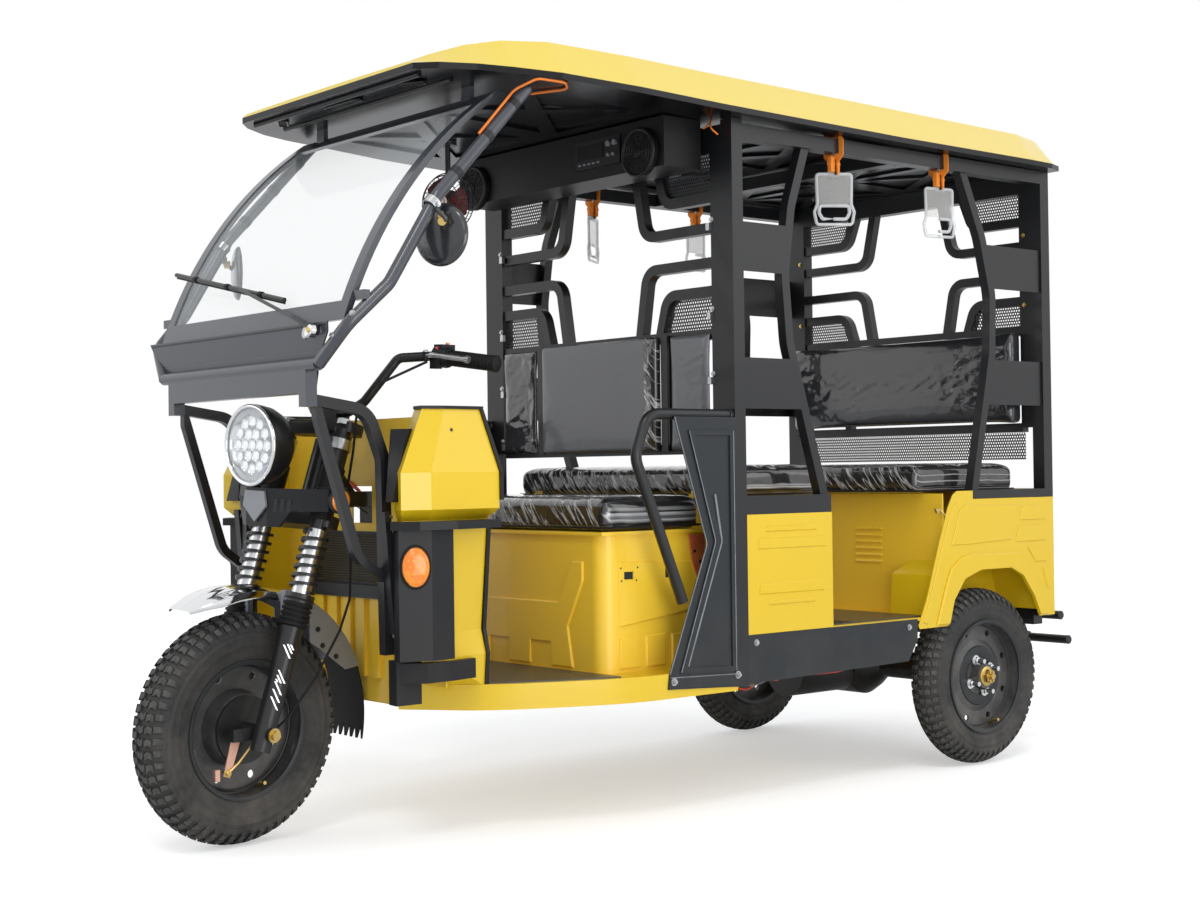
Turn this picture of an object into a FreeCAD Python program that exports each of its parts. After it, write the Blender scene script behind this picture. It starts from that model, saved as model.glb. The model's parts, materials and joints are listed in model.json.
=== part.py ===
"""Electric three-wheeled auto rickshaw with an open cabin, built as separate sub-parts.

Z is up, the nose points along -Y and the vehicle's left side is +X. While the pieces are
modelled, Y = 0 is the front axle and Z = 0 the ground. Each piece is then moved by ORIGIN_Y,
so that the stored origin is on the ground at the middle of the whole length.
"""
import FreeCAD, Part

import math
import os

from FreeCAD import Rotation, Vector

# Driving dimensions of the running gear, in millimetres.
ORIGIN_Y = 1099.5
WHEELBASE = 2037.0
TRACK_HALF = 447.0
FRONT_TYRE = (258.0, 99.0)
LEAN_ALLOWANCE = 1.06
REAR_TYRE = (241.0, 88.0)
BEAD_R = 152.0
RIM_HALF = 41.0
RAKE = math.radians(17.5)
AXIS_SET_BACK = 40.0
STEER_AT_REST = 8.0
LEG_X = 100.0
STEM_R = 14.0
LAMP_Y = 34.0
SPRING_R = 27.0
SPRING_WIRE = 7.0
SPRING_PITCH = 20.5
SPRING_TURNS = 6.8
RUNNING_GAP = 0.05
LOWER_YOKE_Z = 715.0
UPPER_YOKE_Z = 925.0

# Driving dimensions of the body.
HALF_WIDTH = 500.0
SHEET = 3.0
SKIN_X = HALF_WIDTH - SHEET
POST = 38.0
PARTITION = (1076.0, 1112.0)
REAR_POST = (2299.0, 2337.0)
BODY_REAR = 2337.0
POST_TOP = 1656.0
RAIL_FOOT = 1620.0
POST_FOOT = 296.0
SILL = (287.0, 345.0)
RAIL_Z = (300.0, 342.0)
DECK_Z = 420.0
WAIST = (730.0, 753.0)
COWL_Y = 338.0
REAR_BENCH = (1850.0, 2290.0)
SCREEN_HALF = 412.0
POD_X = 334.0
GUARD_X = 300.0
FRAME_TUBE = 13.0

# Roof stations from front to back: Y, half width, lip height, shoulder X and height, crown height.
ROOF_STATIONS = (
    (240.0, 376.0, 1707.0, 352.0, 1713.0, 1715.0),
    (278.0, 420.0, 1706.0, 386.0, 1729.0, 1726.0),
    (350.0, 464.0, 1704.0, 413.0, 1754.0, 1752.0),
    (430.0, 490.0, 1702.5, 440.0, 1770.0, 1774.0),
    (545.0, 514.0, 1701.0, 462.0, 1779.0, 1794.0),
    (760.0, 540.0, 1692.0, 482.0, 1774.0, 1800.0),
    (1010.0, 548.0, 1683.0, 488.0, 1768.0, 1801.0),
    (1650.0, 548.0, 1674.0, 490.0, 1760.0, 1797.0),
    (2200.0, 548.0, 1672.0, 492.0, 1752.0, 1788.0),
    (2295.0, 546.0, 1671.0, 486.0, 1743.0, 1776.0),
    (2345.0, 532.0, 1670.0, 468.0, 1706.0, 1726.0),
)
ROOF_LIP = 14.0
ROOF_SKIN = 4.0
BAY_SHRINK = 0.78

NODES = {}


def block(x, y, z):
    """A box between low and high values on each axis."""
    return Part.makeBox(x[1] - x[0], y[1] - y[0], z[1] - z[0], Vector(x[0], y[0], z[0]))


def plate_yz(points, x0, x1):
    """A polygon drawn in (Y, Z), thick from x0 to x1."""
    outline = [Vector(x0, y, z) for y, z in points]
    return Part.Face(Part.makePolygon(outline + outline[:1])).extrude(Vector(x1 - x0, 0, 0))


def plate_xy(points, z0, z1):
    """A polygon drawn in (X, Y), thick from z0 to z1."""
    outline = [Vector(x, y, z0) for x, y in points]
    return Part.Face(Part.makePolygon(outline + outline[:1])).extrude(Vector(0, 0, z1 - z0))


def plate_xz(points, y0, y1):
    """A polygon drawn in (X, Z), thick from y0 to y1."""
    outline = [Vector(x, y0, z) for x, z in points]
    return Part.Face(Part.makePolygon(outline + outline[:1])).extrude(Vector(0, y1 - y0, 0))


def mirrored(shape):
    """The same piece on the other side of the vehicle."""
    return shape.mirror(Vector(0, 0, 0), Vector(1, 0, 0))


def pair(shape):
    """A piece and its mirror image, as solids that don't touch."""
    return Part.makeCompound([shape, mirrored(shape)])


def fused(shapes):
    """One solid from pieces that are welded or moulded together."""
    return shapes[0].multiFuse(list(shapes[1:])).removeSplitter()


def cylinder_x(radius, x0, x1, y, z):
    """A round bar along X."""
    return Part.makeCylinder(radius, x1 - x0, Vector(x0, y, z), Vector(1, 0, 0))


def cylinder_y(radius, y0, y1, x, z):
    """A round bar along Y."""
    return Part.makeCylinder(radius, y1 - y0, Vector(x, y0, z), Vector(0, 1, 0))


def bend_at(before, corner, after, bend):
    """Where a bend of one radius starts, passes its middle and ends, and its centre."""
    back = (before - corner).normalize()
    ahead = (after - corner).normalize()
    half = back.getAngle(ahead) / 2
    toward = (back + ahead).normalize()
    leg = bend / math.tan(half)
    centre = corner + toward * (bend / math.sin(half))
    return corner + back * leg, centre - toward * bend, corner + ahead * leg, centre


def tube(points, radius, bend):
    """A round tube bent through the given points."""
    corners = [Vector(*p) for p in points]
    pieces = []
    start = corners[0]
    for before, corner, after in zip(corners, corners[1:], corners[2:]):
        first, _, last, centre = bend_at(before, corner, after, bend)
        pieces.append(Part.makeCylinder(radius, (first - start).Length, start, first - start))
        axis = (first - centre).cross(last - centre)
        turn = math.degrees((first - centre).getAngle(last - centre))
        section = Part.Face(Part.Wire([Part.makeCircle(radius, first, first - start)]))
        pieces.append(section.revolve(centre, axis, turn))
        start = last
    pieces.append(Part.makeCylinder(radius, (corners[-1] - start).Length, start, corners[-1] - start))
    return fused(pieces)


def rail(points, normal, width, depth, bend):
    """A flat-sided tube bent through points of one plane. Its depth runs along the normal."""
    corners = [Vector(*p) for p in points]
    normal = Vector(*normal)
    edges = []
    ends = []
    for offset in (width / 2, -width / 2):
        start = corners[0] + normal.cross(corners[1] - corners[0]).normalize() * offset
        ends.append(start)
        for before, corner, after in zip(corners, corners[1:], corners[2:]):
            first, middle, last, centre = bend_at(before, corner, after, bend)
            across = normal.cross(corner - before)
            outward = 1 if (first - centre).dot(across) > 0 else -1
            grow = 1 + offset * outward / bend
            arc = [centre + (point - centre) * grow for point in (first, middle, last)]
            edges.append(Part.LineSegment(start, arc[0]).toShape())
            edges.append(Part.Arc(*arc).toShape())
            start = arc[2]
        end = corners[-1] + normal.cross(corners[-1] - corners[-2]).normalize() * offset
        edges.append(Part.LineSegment(start, end).toShape())
        ends.append(end)
    edges.append(Part.LineSegment(ends[0], ends[2]).toShape())
    edges.append(Part.LineSegment(ends[1], ends[3]).toShape())
    face = Part.Face(Part.Wire(Part.sortEdges(edges)[0]))
    face.translate(normal * (-depth / 2))
    return face.extrude(normal * depth)


def turned(profile, centre, axis):
    """A closed profile turned a full circle about an axis."""
    face = Part.Face(Part.makePolygon([Vector(*p) for p in profile + profile[:1]]))
    return face.revolve(Vector(*centre), Vector(*axis), 360)


def axis_point(z):
    """The point of the steering axis at height z, with the wheel straight."""
    return Vector(0, AXIS_SET_BACK + (z - FRONT_TYRE[0]) * math.tan(RAKE), z)


def leg_point(x, z):
    """The centre line of a fork leg at height z, with the wheel straight."""
    return Vector(x, (z - FRONT_TYRE[0]) * math.tan(RAKE), z)


AXIS_DIRECTION = Vector(0, math.sin(RAKE), math.cos(RAKE))


def steered(shape):
    """Turn a front-end piece to the steering angle at which the vehicle is parked."""
    shape = shape.copy()
    shape.rotate(axis_point(FRONT_TYRE[0]), AXIS_DIRECTION, STEER_AT_REST)
    return shape


def save(name, shape):
    """Move a finished piece to the stored origin and write it."""
    shape = shape.copy()
    shape.translate(Vector(0, -ORIGIN_Y, 0))
    if not shape.isValid() or not shape.Solids:
        raise ValueError("piece %s isn't a valid solid" % name)
    NODES[name] = shape
    shape.exportStep("parts/%s.step" % name)


def tyre(radius, width, centre):
    """A road tyre with sloping shoulders, open at the bead."""
    x, y, z = centre
    wall = width / 2 - 3
    shoulder = radius - 26
    profile = [(-wall, BEAD_R + 0.3), (-wall, shoulder), (-28, radius), (28, radius), (wall, shoulder),
               (wall, BEAD_R + 0.3)]
    return turned([(x + dx, y, z + r) for dx, r in profile], centre, (1, 0, 0))


def steel_wheel(centre, side, bore, hub_out, hub_in, drum):
    """A pressed steel wheel with its drum hub. Side is the way that the disc faces.

    Distances along the axle run from the centre plane to that side.
    """
    x, y, z = centre
    drum_in, drum_out, drum_r = drum
    section = [(-RIM_HALF, BEAD_R), (RIM_HALF, BEAD_R), (RIM_HALF, BEAD_R - 5), (9, BEAD_R - 5),
               (drum_out - 6, drum_r + 14), (drum_out, drum_r), (drum_out, 34), (hub_out, 34), (hub_out, bore),
               (hub_in, bore), (hub_in, 34), (drum_in, 34), (drum_in, drum_r), (drum_out - 12, drum_r + 8),
               (3, BEAD_R - 5), (-RIM_HALF, BEAD_R - 5)]
    wheel = turned([(x + side * dx, y, z + r) for dx, r in section], centre, (1, 0, 0))
    hole_r = (drum_r + 14 + BEAD_R - 5) / 2
    hole = Part.makeCylinder(9, 80, Vector(x - 40, y, z + hole_r), Vector(1, 0, 0))
    holes = []
    for step in range(8):
        turned_hole = hole.copy()
        turned_hole.rotate(Vector(*centre), Vector(1, 0, 0), 22.5 + 45 * step)
        holes.append(turned_hole)
    return wheel.cut(Part.makeCompound(holes))


# Front wheel, fork and handlebar, modelled straight ahead and then turned.

def front_tyre():
    """The front tyre."""
    return tyre(FRONT_TYRE[0] - LEAN_ALLOWANCE, FRONT_TYRE[1], (0, 0, FRONT_TYRE[0]))


def front_wheel():
    """The front steel wheel with its drum."""
    return steel_wheel((0, 0, FRONT_TYRE[0]), -1, 10 + RUNNING_GAP, 52, -25, (-22, 24, 78))


def fork():
    """Fork yokes, sliders, axle and the fixed brake plate, welded as one front end."""
    z_axle = FRONT_TYRE[0]
    pieces = []
    for x in (-LEG_X, LEG_X):
        top = leg_point(x, 556)
        foot = leg_point(x, z_axle - 38)
        slider = Part.makeCone(23, 27, (top - foot).Length, foot, top - foot)
        collar = Part.makeCylinder(33, 20, leg_point(x, 538), AXIS_DIRECTION)
        stanchion = Part.makeCylinder(19, (leg_point(x, 925) - top).Length, top, AXIS_DIRECTION)
        cover = Part.makeCylinder(24, 118, leg_point(x, 797), AXIS_DIRECTION)
        pieces += [slider, collar, stanchion, cover]
    axle = cylinder_x(10, -LEG_X - 34, LEG_X + 34, 0, z_axle)
    nuts = [cylinder_x(15, side * (LEG_X + 28) - 6, side * (LEG_X + 28) + 6, 0, z_axle)
            for side in (-1, 1)]
    brake_plate = cylinder_x(76, 27, 33, 0, z_axle)
    spacer = cylinder_x(17, 33, LEG_X - 20, 0, z_axle)
    torque_arm = block((72, 84), (-70, -6), (z_axle - 14, z_axle + 14))
    lamp_arm = block((-22, 22), (LAMP_Y + 78, 212), (914, 940))
    cover_tabs = [block(sorted((side * LEG_X, side * 147)), (146, 164), (738, 762)) for side in (-1, 1)]
    guard_lugs = [block(sorted((side * 66, side * 92)), (72, 84), (506, 538)) for side in (-1, 1)]
    pieces += [lamp_arm] + cover_tabs + guard_lugs
    lower_yoke = yoke(28, 14, LOWER_YOKE_Z)
    upper_yoke = yoke(30, 12, UPPER_YOKE_Z)
    stem_foot = axis_point(LOWER_YOKE_Z - 8)
    stem = Part.makeCylinder(STEM_R, (axis_point(UPPER_YOKE_Z) - stem_foot).Length, stem_foot, AXIS_DIRECTION)
    front_end = fused(pieces + [axle, brake_plate, spacer, torque_arm, lower_yoke, upper_yoke, stem] + nuts)
    return Part.makeCompound([front_end, fork_spring(-LEG_X), fork_spring(LEG_X)])


def yoke_place(height):
    """The place of a yoke, square to the steering axis and midway between axis and legs."""
    middle = leg_point(0, height) * 0.5 + axis_point(height) * 0.5
    return FreeCAD.Placement(middle, Rotation(Vector(1, 0, 0), -math.degrees(RAKE)))


def yoke(half_depth, half_height, height):
    """A fork yoke with rounded ends, which clamps both fork tubes."""
    half = LEG_X + 26
    plate = block((-half, half), (-half_depth, half_depth), (-half_height, half_height))
    corners = [edge for edge in plate.Edges if edge.BoundBox.ZLength > half_height]
    plate = plate.makeFillet(24, corners)
    plate.Placement = yoke_place(height)
    return plate


def fork_spring(x):
    """The open coil spring round one fork tube, wound from flat-sided wire."""
    foot = leg_point(x, 562)
    coil = Part.makeHelix(SPRING_PITCH, SPRING_PITCH * SPRING_TURNS, SPRING_R)
    wire = SPRING_WIRE / 2
    corners = [Vector(SPRING_R + dx, 0, dz) for dx, dz in
               ((-wire, -wire), (wire, -wire), (wire, wire), (-wire, wire))]
    spring = Part.Wire(coil.Edges).makePipeShell([Part.makePolygon(corners + corners[:1])], True, True)
    spring.Placement = FreeCAD.Placement(foot, Rotation(Vector(0, 0, 1), AXIS_DIRECTION))
    return spring


def fork_cover():
    """The moulded cover in front of the fork tubes, with its end lamps."""
    outline = [(-152, 178), (-152, 128), (-96, 72), (-38, 46), (38, 46), (96, 72), (152, 128), (152, 178)]
    inner = [(-147, 178), (-147, 131), (-93, 77), (-37, 51), (37, 51), (93, 77), (147, 131), (147, 178)]
    shell = plate_xy(outline, 706, 792).cut(plate_xy(inner, 700, 800))
    notch = plate_xz([(-152, 700), (-60, 700), (-92, 742), (-160, 742)], 0, 200)
    shell = shell.cut(notch).cut(mirrored(notch))
    lamps = [cylinder_x(27, *sorted((side * 152, side * 166)), 150, 767) for side in (-1, 1)]
    return fused([shell] + lamps)


def headlamp():
    """The round headlamp: a bowl with a ring and a domed lens."""
    centre = Vector(0, LAMP_Y, 887)
    bowl = Part.makeCone(88, 56, 78, centre, Vector(0, 1, 0))
    ring = Part.makeCylinder(92, 16, centre - Vector(0, 10, 0), Vector(0, 1, 0))
    dome = Part.makeSphere(190, Vector(0, centre.y + 166, centre.z))
    lens = dome.common(Part.makeCylinder(84, 40, centre - Vector(0, 30, 0), Vector(0, 1, 0)))
    return fused([bowl, ring, lens])


def handlebar():
    """The swept handlebar with its grips, switch blocks and clamp."""
    path = [(215, 380, 1096), (150, 328, 1090), (98, 272, 988), (60, 256, 963)]
    left = path + [(-x, y, z) for x, y, z in reversed(path)]
    bar = tube([(375, 425, 1078)] + left + [(-375, 425, 1078)], 11, 22)
    along = (Vector(375, 425, 1078) - Vector(215, 380, 1096)).normalize()
    pieces = [bar]
    for side in (1, -1):
        inner = Vector(215, 380, 1096) + along * 42
        grip = Part.makeCylinder(17, 124, inner, along)
        switch = Part.makeCylinder(23, 34, inner - along * 36, along)
        lever = tube([(222, 352, 1096), (262, 335, 1096), (345, 356, 1086)], 5, 22)
        bracket = Part.makeCylinder(9, 34, Vector(222, 352, 1096) - Vector(0, 6, 0), Vector(0, 1, 0))
        lump = fused([grip, switch, lever, bracket])
        pieces.append(lump if side > 0 else mirrored(lump))
    clamp = block((-34, 34), (2, 42), (12, 48))
    clamp.Placement = yoke_place(UPPER_YOKE_Z)
    return fused(pieces + [clamp])


def mudguard():
    """The front mudguard, an arched strip with turned-down edges and its stays."""
    z_axle = FRONT_TYRE[0]
    radius = 314.0
    section = [(-62, 0, radius - 14), (-60, 0, radius - 14), (-58, 0, radius - 3), (58, 0, radius - 3),
               (60, 0, radius - 14), (62, 0, radius - 14), (60, 0, radius), (-60, 0, radius)]
    outline = [Vector(x, y, z_axle + z) for x, y, z in section]
    face = Part.Face(Part.makePolygon(outline + outline[:1]))
    face.rotate(Vector(0, 0, z_axle), Vector(1, 0, 0), 30)
    guard = face.revolve(Vector(0, 0, z_axle), Vector(1, 0, 0), -97)
    stays = [block((side * 62 - 4, side * 62 + 4), (70, 84), (500, 566)) for side in (-1, 1)]
    return fused([guard] + stays)


def mud_flap():
    """The rubber flap behind the front wheel, with a toothed lower edge."""
    z_axle = FRONT_TYRE[0]
    outline = [Vector(x, 0, z_axle + r) for x, r in ((-60, 314.3), (60, 314.3), (60, 317.5), (-60, 317.5))]
    face = Part.Face(Part.makePolygon(outline + outline[:1]))
    face.rotate(Vector(0, 0, z_axle), Vector(1, 0, 0), -56)
    flap = face.revolve(Vector(0, 0, z_axle), Vector(1, 0, 0), -44)
    tooth_x = 120.0 / 6
    for step in range(6):
        low = -60 + step * tooth_x
        tooth = plate_xz([(low, 190), (low + tooth_x, 190), (low + tooth_x / 2, 232)], 250, 330)
        flap = flap.cut(tooth)
    return flap


# Rear axle and springs.

def rear_wheel(side):
    """A rear steel wheel with its drum hub."""
    centre = (side * TRACK_HALF, WHEELBASE, REAR_TYRE[0])
    return steel_wheel(centre, side, 15 + RUNNING_GAP, 40, -48, (-46, 14, 84))


def rear_axle():
    """Axle tube with differential case, drive motor, brake plates and stub ends."""
    y, z = WHEELBASE, REAR_TYRE[0]
    plate = TRACK_HALF - 60
    half = [(TRACK_HALF + 52, 0), (TRACK_HALF + 52, 15), (plate + 8, 15), (plate + 8, 92), (plate, 92),
            (plate, 30), (128, 30), (88, 62), (52, 84)]
    profile = [(x, y, z + r) for x, r in half] + [(-x, y, z + r) for x, r in reversed(half)]
    axle = turned(profile, (0, y, z), (1, 0, 0))
    motor = cylinder_y(72, y - 290, y - 60, 0, z)
    return fused([axle, motor])


def leaf_spring():
    """One pack of curved leaves on the axle, with rolled eyes and hangers."""
    y, z = WHEELBASE, REAR_TYRE[0] + 30.0
    radius = 1400.0
    x = (305.0, 355.0)
    leaves = []
    for step, half_length in enumerate((285, 215, 150, 90)):
        low = z + 7 * (3 - step)
        centre_z = low + radius
        bulge = math.asin(half_length / radius)
        outer = [Vector(x[0], y + radius * math.sin(a), centre_z - radius * math.cos(a))
                 for a in (-bulge, 0, bulge)]
        inner = [Vector(x[0], y + (radius - 7) * math.sin(a), centre_z - (radius - 7) * math.cos(a))
                 for a in (-bulge, 0, bulge)]
        edges = [Part.Arc(*outer).toShape(), Part.LineSegment(outer[2], inner[2]).toShape(),
                 Part.Arc(*reversed(inner)).toShape(), Part.LineSegment(inner[0], outer[0]).toShape()]
        leaves.append(Part.Face(Part.Wire(edges)).extrude(Vector(x[1] - x[0], 0, 0)))
    eye_z = z + 21 + radius - math.sqrt(radius ** 2 - 285 ** 2) + 4
    eyes = [cylinder_x(14, x[0] - 4, x[1] + 4, y + end * 291, eye_z) for end in (-1, 1)]
    hangers = [block((x[0] - 4, x[0]), (y + end * 291 - 12, y + end * 291 + 12), (eye_z, 365))
               for end in (-1, 1)]
    clamp = block((x[0] - 4, x[1] + 4), (y - 40, y + 40), (z + 24, z + 38))
    return fused(leaves + eyes + hangers + [clamp])


# Chassis and floor.

def chassis_frame():
    """The welded chassis: floor rails, cross tubes, step up to the rear rails and the neck."""
    front_rail = block((180, 220), (350, 1112), RAIL_Z)
    rear_rail = block((295, 335), (1076, 2330), (365, 412))
    upright = block((180, 220), (1076, 1112), (RAIL_Z[0], 412))
    pieces = []
    for piece in (front_rail, rear_rail, upright):
        pieces += [piece, mirrored(piece)]
    pieces += [
        block((-220, 220), (350, 390), RAIL_Z),
        block((-220, 220), (700, 740), RAIL_Z),
        block((-462, 462), (1076, 1112), (372, 412)),
        block((-335, 335), (1076, 1112), RAIL_Z),
        block((-335, 335), (1690, 1730), (365, 412)),
        block((-462, 462), (2290, 2330), (365, 412)),
        block((-30, 30), (350, 390), (RAIL_Z[0], 778)),
        block((-30, 30), (200, 390), (742, 778)),
    ]
    neck_foot = axis_point(742)
    neck = Part.makeCylinder(25, (axis_point(895) - neck_foot).Length, neck_foot, AXIS_DIRECTION)
    brace = plate_yz([(210, 770), (238, 860), (252, 860), (320, 770)], -8, 8)
    frame = fused(pieces + [neck, brace])
    bore = Part.makeCylinder(STEM_R + RUNNING_GAP, 500, axis_point(560), AXIS_DIRECTION)
    return frame.cut(bore)


def floor_outline(inset, rear):
    """The plan of the front floor as a face at Z = 0, drawn in by an inset."""
    curve_points = [(195, 304), (252, 348), (345, 428), (382, 480), (435, 590), (471, 680), (SKIN_X, 840)]
    left = [Vector(x - inset, y + inset * 0.6, 0) for x, y in curve_points]
    right = [Vector(-v.x, v.y, 0) for v in reversed(left)]
    curve_left = Part.BSplineCurve()
    curve_left.interpolate(left)
    curve_right = Part.BSplineCurve()
    curve_right.interpolate(right)
    front_y = COWL_Y + SHEET + inset
    corners = [Vector(SKIN_X - inset, rear - inset, 0), Vector(-SKIN_X + inset, rear - inset, 0)]
    nose = [Vector(-150 + inset, front_y, 0), Vector(150 - inset, front_y, 0)]
    lines = [(left[-1], corners[0]), (corners[0], corners[1]), (corners[1], right[0]),
             (right[-1], nose[0]), (nose[0], nose[1]), (nose[1], left[0])]
    edges = [curve_left.toShape(), curve_right.toShape()]
    edges += [Part.LineSegment(first, last).toShape() for first, last in lines]
    return Part.Face(Part.Wire(Part.sortEdges(edges)[0]))


def floor_pan():
    """The driver's floor, a tray with a deep curved sill, and the raised passenger deck."""
    tray = floor_outline(0, PARTITION[0]).extrude(Vector(0, 0, SILL[1] - SILL[0]))
    hollow = floor_outline(SHEET, PARTITION[0]).extrude(Vector(0, 0, SILL[1] - SILL[0] - SHEET))
    tray = tray.cut(hollow)
    tray.translate(Vector(0, 0, SILL[0]))
    rail_slot = block((180, 220), (1060, 1080), RAIL_Z)
    tray = tray.cut(block((-30, 30), (350, 390), (280, 350))).cut(pair(rail_slot))
    deck = block((-SKIN_X, SKIN_X), (PARTITION[1], REAR_BENCH[0]), (412, DECK_Z))
    return Part.makeCompound([tray, deck.cut(pair(wheel_box(0)))])


def floor_mats():
    """The rubber mats on the driver's floor and on the passenger deck, with ribs."""
    side = [(470, 730), (455, 682), (418, 592), (365, 482), (340, 446), (250, 446), (250, 400)]
    front = plate_xy(side + [(-x, y) for x, y in reversed(side)], SILL[1], SILL[1] + 3)
    rear = block((-480, 480), (1416, 1790), (DECK_Z, DECK_Z + 3))
    ribs = [block((-478, 478), (y, y + 9), (DECK_Z + 2, DECK_Z + 5)) for y in range(1424, 1500, 24)]
    return Part.makeCompound([front, fused([rear] + ribs)])


# Front body.

def front_cowl():
    """The front wall behind the wheel, with flutes pressed into it below the grille opening."""
    wall = block((-POD_X, POD_X), (COWL_Y, COWL_Y + SHEET), (SILL[1], 946))
    foot = block((-150, 150), (COWL_Y, COWL_Y + SHEET), (290, SILL[1] + 1))
    wall = wall.fuse(foot).cut(block((-215, 215), (330, 350), (566, 676)))
    wall = wall.cut(block((-42, 42), (330, 350), (704, 790)))
    flutes = [block((x - 16, x + 16), (COWL_Y - 9, COWL_Y), (346, 528)) for x in range(-180, 181, 60)]
    return fused([wall] + flutes).cut(pair(leg_shield()))


def cowl_grille():
    """The grille in the front wall, with its cross bar below."""
    panel = block((-215, 215), (COWL_Y + 1, COWL_Y + 3), (566, 676))
    bar = block((-285, 285), (COWL_Y - 16, COWL_Y), (533, 560))
    return Part.makeCompound([panel, bar])


def loft(sections):
    """A flat-sided solid through plan polygons, given as (Z, points)."""
    wires = []
    for z, outline in sections:
        points = [Vector(x, y, z) for x, y in outline]
        wires.append(Part.makePolygon(points + points[:1]))
    return Part.makeLoft(wires, True, True)


CHEST = [(POD_X, 208), (392, 186), (413, 250), (410, 434), (POD_X, 434)]


def leg_shield():
    """The left leg shield, a moulding that wraps from the nose round to the side."""
    foot = [(262, 352), (300, 386), (345, 428), (345, 434), (262, 434)]
    flare = [(300, 300), (345, 262), (372, 300), (352, 434), (300, 434)]
    waist_low = [(POD_X, 215), (366, 205), (388, 262), (338, 432), (POD_X, 434)]
    waist_top = [(POD_X, 215), (366, 205), (388, 262), (362, 434), (POD_X, 434)]
    top = [(POD_X, 262), (380, 250), (392, 300), (384, 400), (POD_X, 400)]
    low = loft([(SILL[1], foot), (415, flare), (470, waist_low), (716, waist_top), (740, CHEST)])
    high = loft([(740, CHEST), (820, CHEST), (958, top)])
    return fused([low, high])


def shield_moulding():
    """The dark moulding on the left leg shield: shelf band, lamp housing, column and step lug."""
    rim = [(POD_X, 196), (372, 172), (420, 215), (438, 300), (416, 434)]
    band = plate_xy(rim + CHEST[3::-1], 697, 757)
    under = plate_xy(rim + [(363, 434), (389, 262), (366, 204.5), (POD_X, 214.5)], 697, 715)
    housing = plate_xy([(POD_X, 203), (372, 192), (401, 258), (397, 318), (388, 318), (389, 262), (366, 204.7),
                        (POD_X, 214.7)], 415, 697)
    column = plate_xy([(316, 200), (352, 196), (352, 261), (330, 261)], 318, 415)
    lug = plate_xy([(318, 204), (345, 197), (392, 250), (386, 330), (372, 392), (361, 392), (376, 300),
                    (349, 254), (331, 250)], 366, 409)
    return fused([band, under, housing, column, lug])


def shield_edging():
    """The dark rubber edging down the back and along the top of the left leg shield."""
    low = [(SILL[1], 350), (415, 357), (470, 343), (696, 365)]
    high = [(757.5, 415), (820, 415)]
    inner = POD_X - 30
    levels = [[(z, [(inner, 434), (x, 434), (x, 443), (inner, 443)]) for z, x in side] for side in (low, high)]
    top_plan = [(POD_X, 400.5), (389, 400.5), (389, 409), (POD_X, 409)]
    slope = loft([(820, [(inner, 434.5), (415, 434.5), (415, 443), (inner, 443)]), (958, top_plan)])
    cap = plate_xy([(POD_X, 259), (382, 246), (396, 300), (388, 409), (POD_X, 409)], 958, 965)
    return [loft(levels[0]), fused([loft(levels[1]), slope, cap])]


def shield_collar():
    """The dark two-faced collar at the front inner edge of the left leg shield."""
    body = loft([(757, [(316, 214), (326, 190), (368, 180), (368, 215), (POD_X, 230), (316, 230)]),
                 (915, [(316, 236), (330, 202), (364, 224), (366, 250), (POD_X, 262), (316, 262)])])
    body = body.cut(block((POD_X, 500), (100, 500), (700, 821)).common(loft([(700, CHEST), (822, CHEST)])))
    return body.cut(leg_shield())


def front_indicator():
    """The amber lamp on the left lamp housing."""
    base = Part.makeCylinder(41, 9, Vector(0, 0, 0), Vector(0, 0, 1))
    base = base.common(block((-30, 30), (-42, 42), (-1, 11)))
    outward = Vector(66, -29, 0).normalize()
    side = Vector(0, 0, 1).cross(outward)
    turn = Rotation(side, Vector(0, 0, 1), outward, "ZYX")
    base.Placement = FreeCAD.Placement(Vector(386.5, 225, 617), turn)
    return base


def guard_hoop():
    """The left front hoop: a square post bent down from the apron, with an inner guard."""
    across = (1, 0, 0)
    post = rail([(GUARD_X, 16, 978), (GUARD_X, 160, 956), (GUARD_X, 200, 850), (GUARD_X, 207, 425)],
                across, 24, 24, 60)
    guard = rail([(GUARD_X, 28, 978), (GUARD_X, 132, 640), (GUARD_X, 206, 586)], across, 20, 20, 60)
    strip = plate_yz([(182, 736), (198, 736), (221, 471), (205, 471)], GUARD_X + 12, POD_X)
    behind_apron = block((200, 400), (30, 400), (300, 1100))
    return fused([post, guard, strip]).common(behind_apron)


# Screen and apron.

def screen_band(thickness, set_back, x_half, low, high):
    """A strip of the curved windscreen surface between two heights, as wide as 2 * x_half."""
    front = [Vector(-x_half, 38 + set_back, 1146), Vector(-x_half, 176 + set_back, 1411),
             Vector(-x_half, 424 + set_back, 1656)]
    arc = Part.Arc(*front).toShape().Curve
    centre = arc.Center
    radius = arc.Radius
    outer = Part.makeCylinder(radius, 2 * x_half, Vector(-x_half, centre.y, centre.z), Vector(1, 0, 0))
    inner = Part.makeCylinder(radius - thickness, 2 * x_half, Vector(-x_half, centre.y, centre.z),
                              Vector(1, 0, 0))
    ring = outer.cut(inner)
    return ring.common(block((-x_half - 1, x_half + 1), (0, 560), (low, high)))


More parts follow.
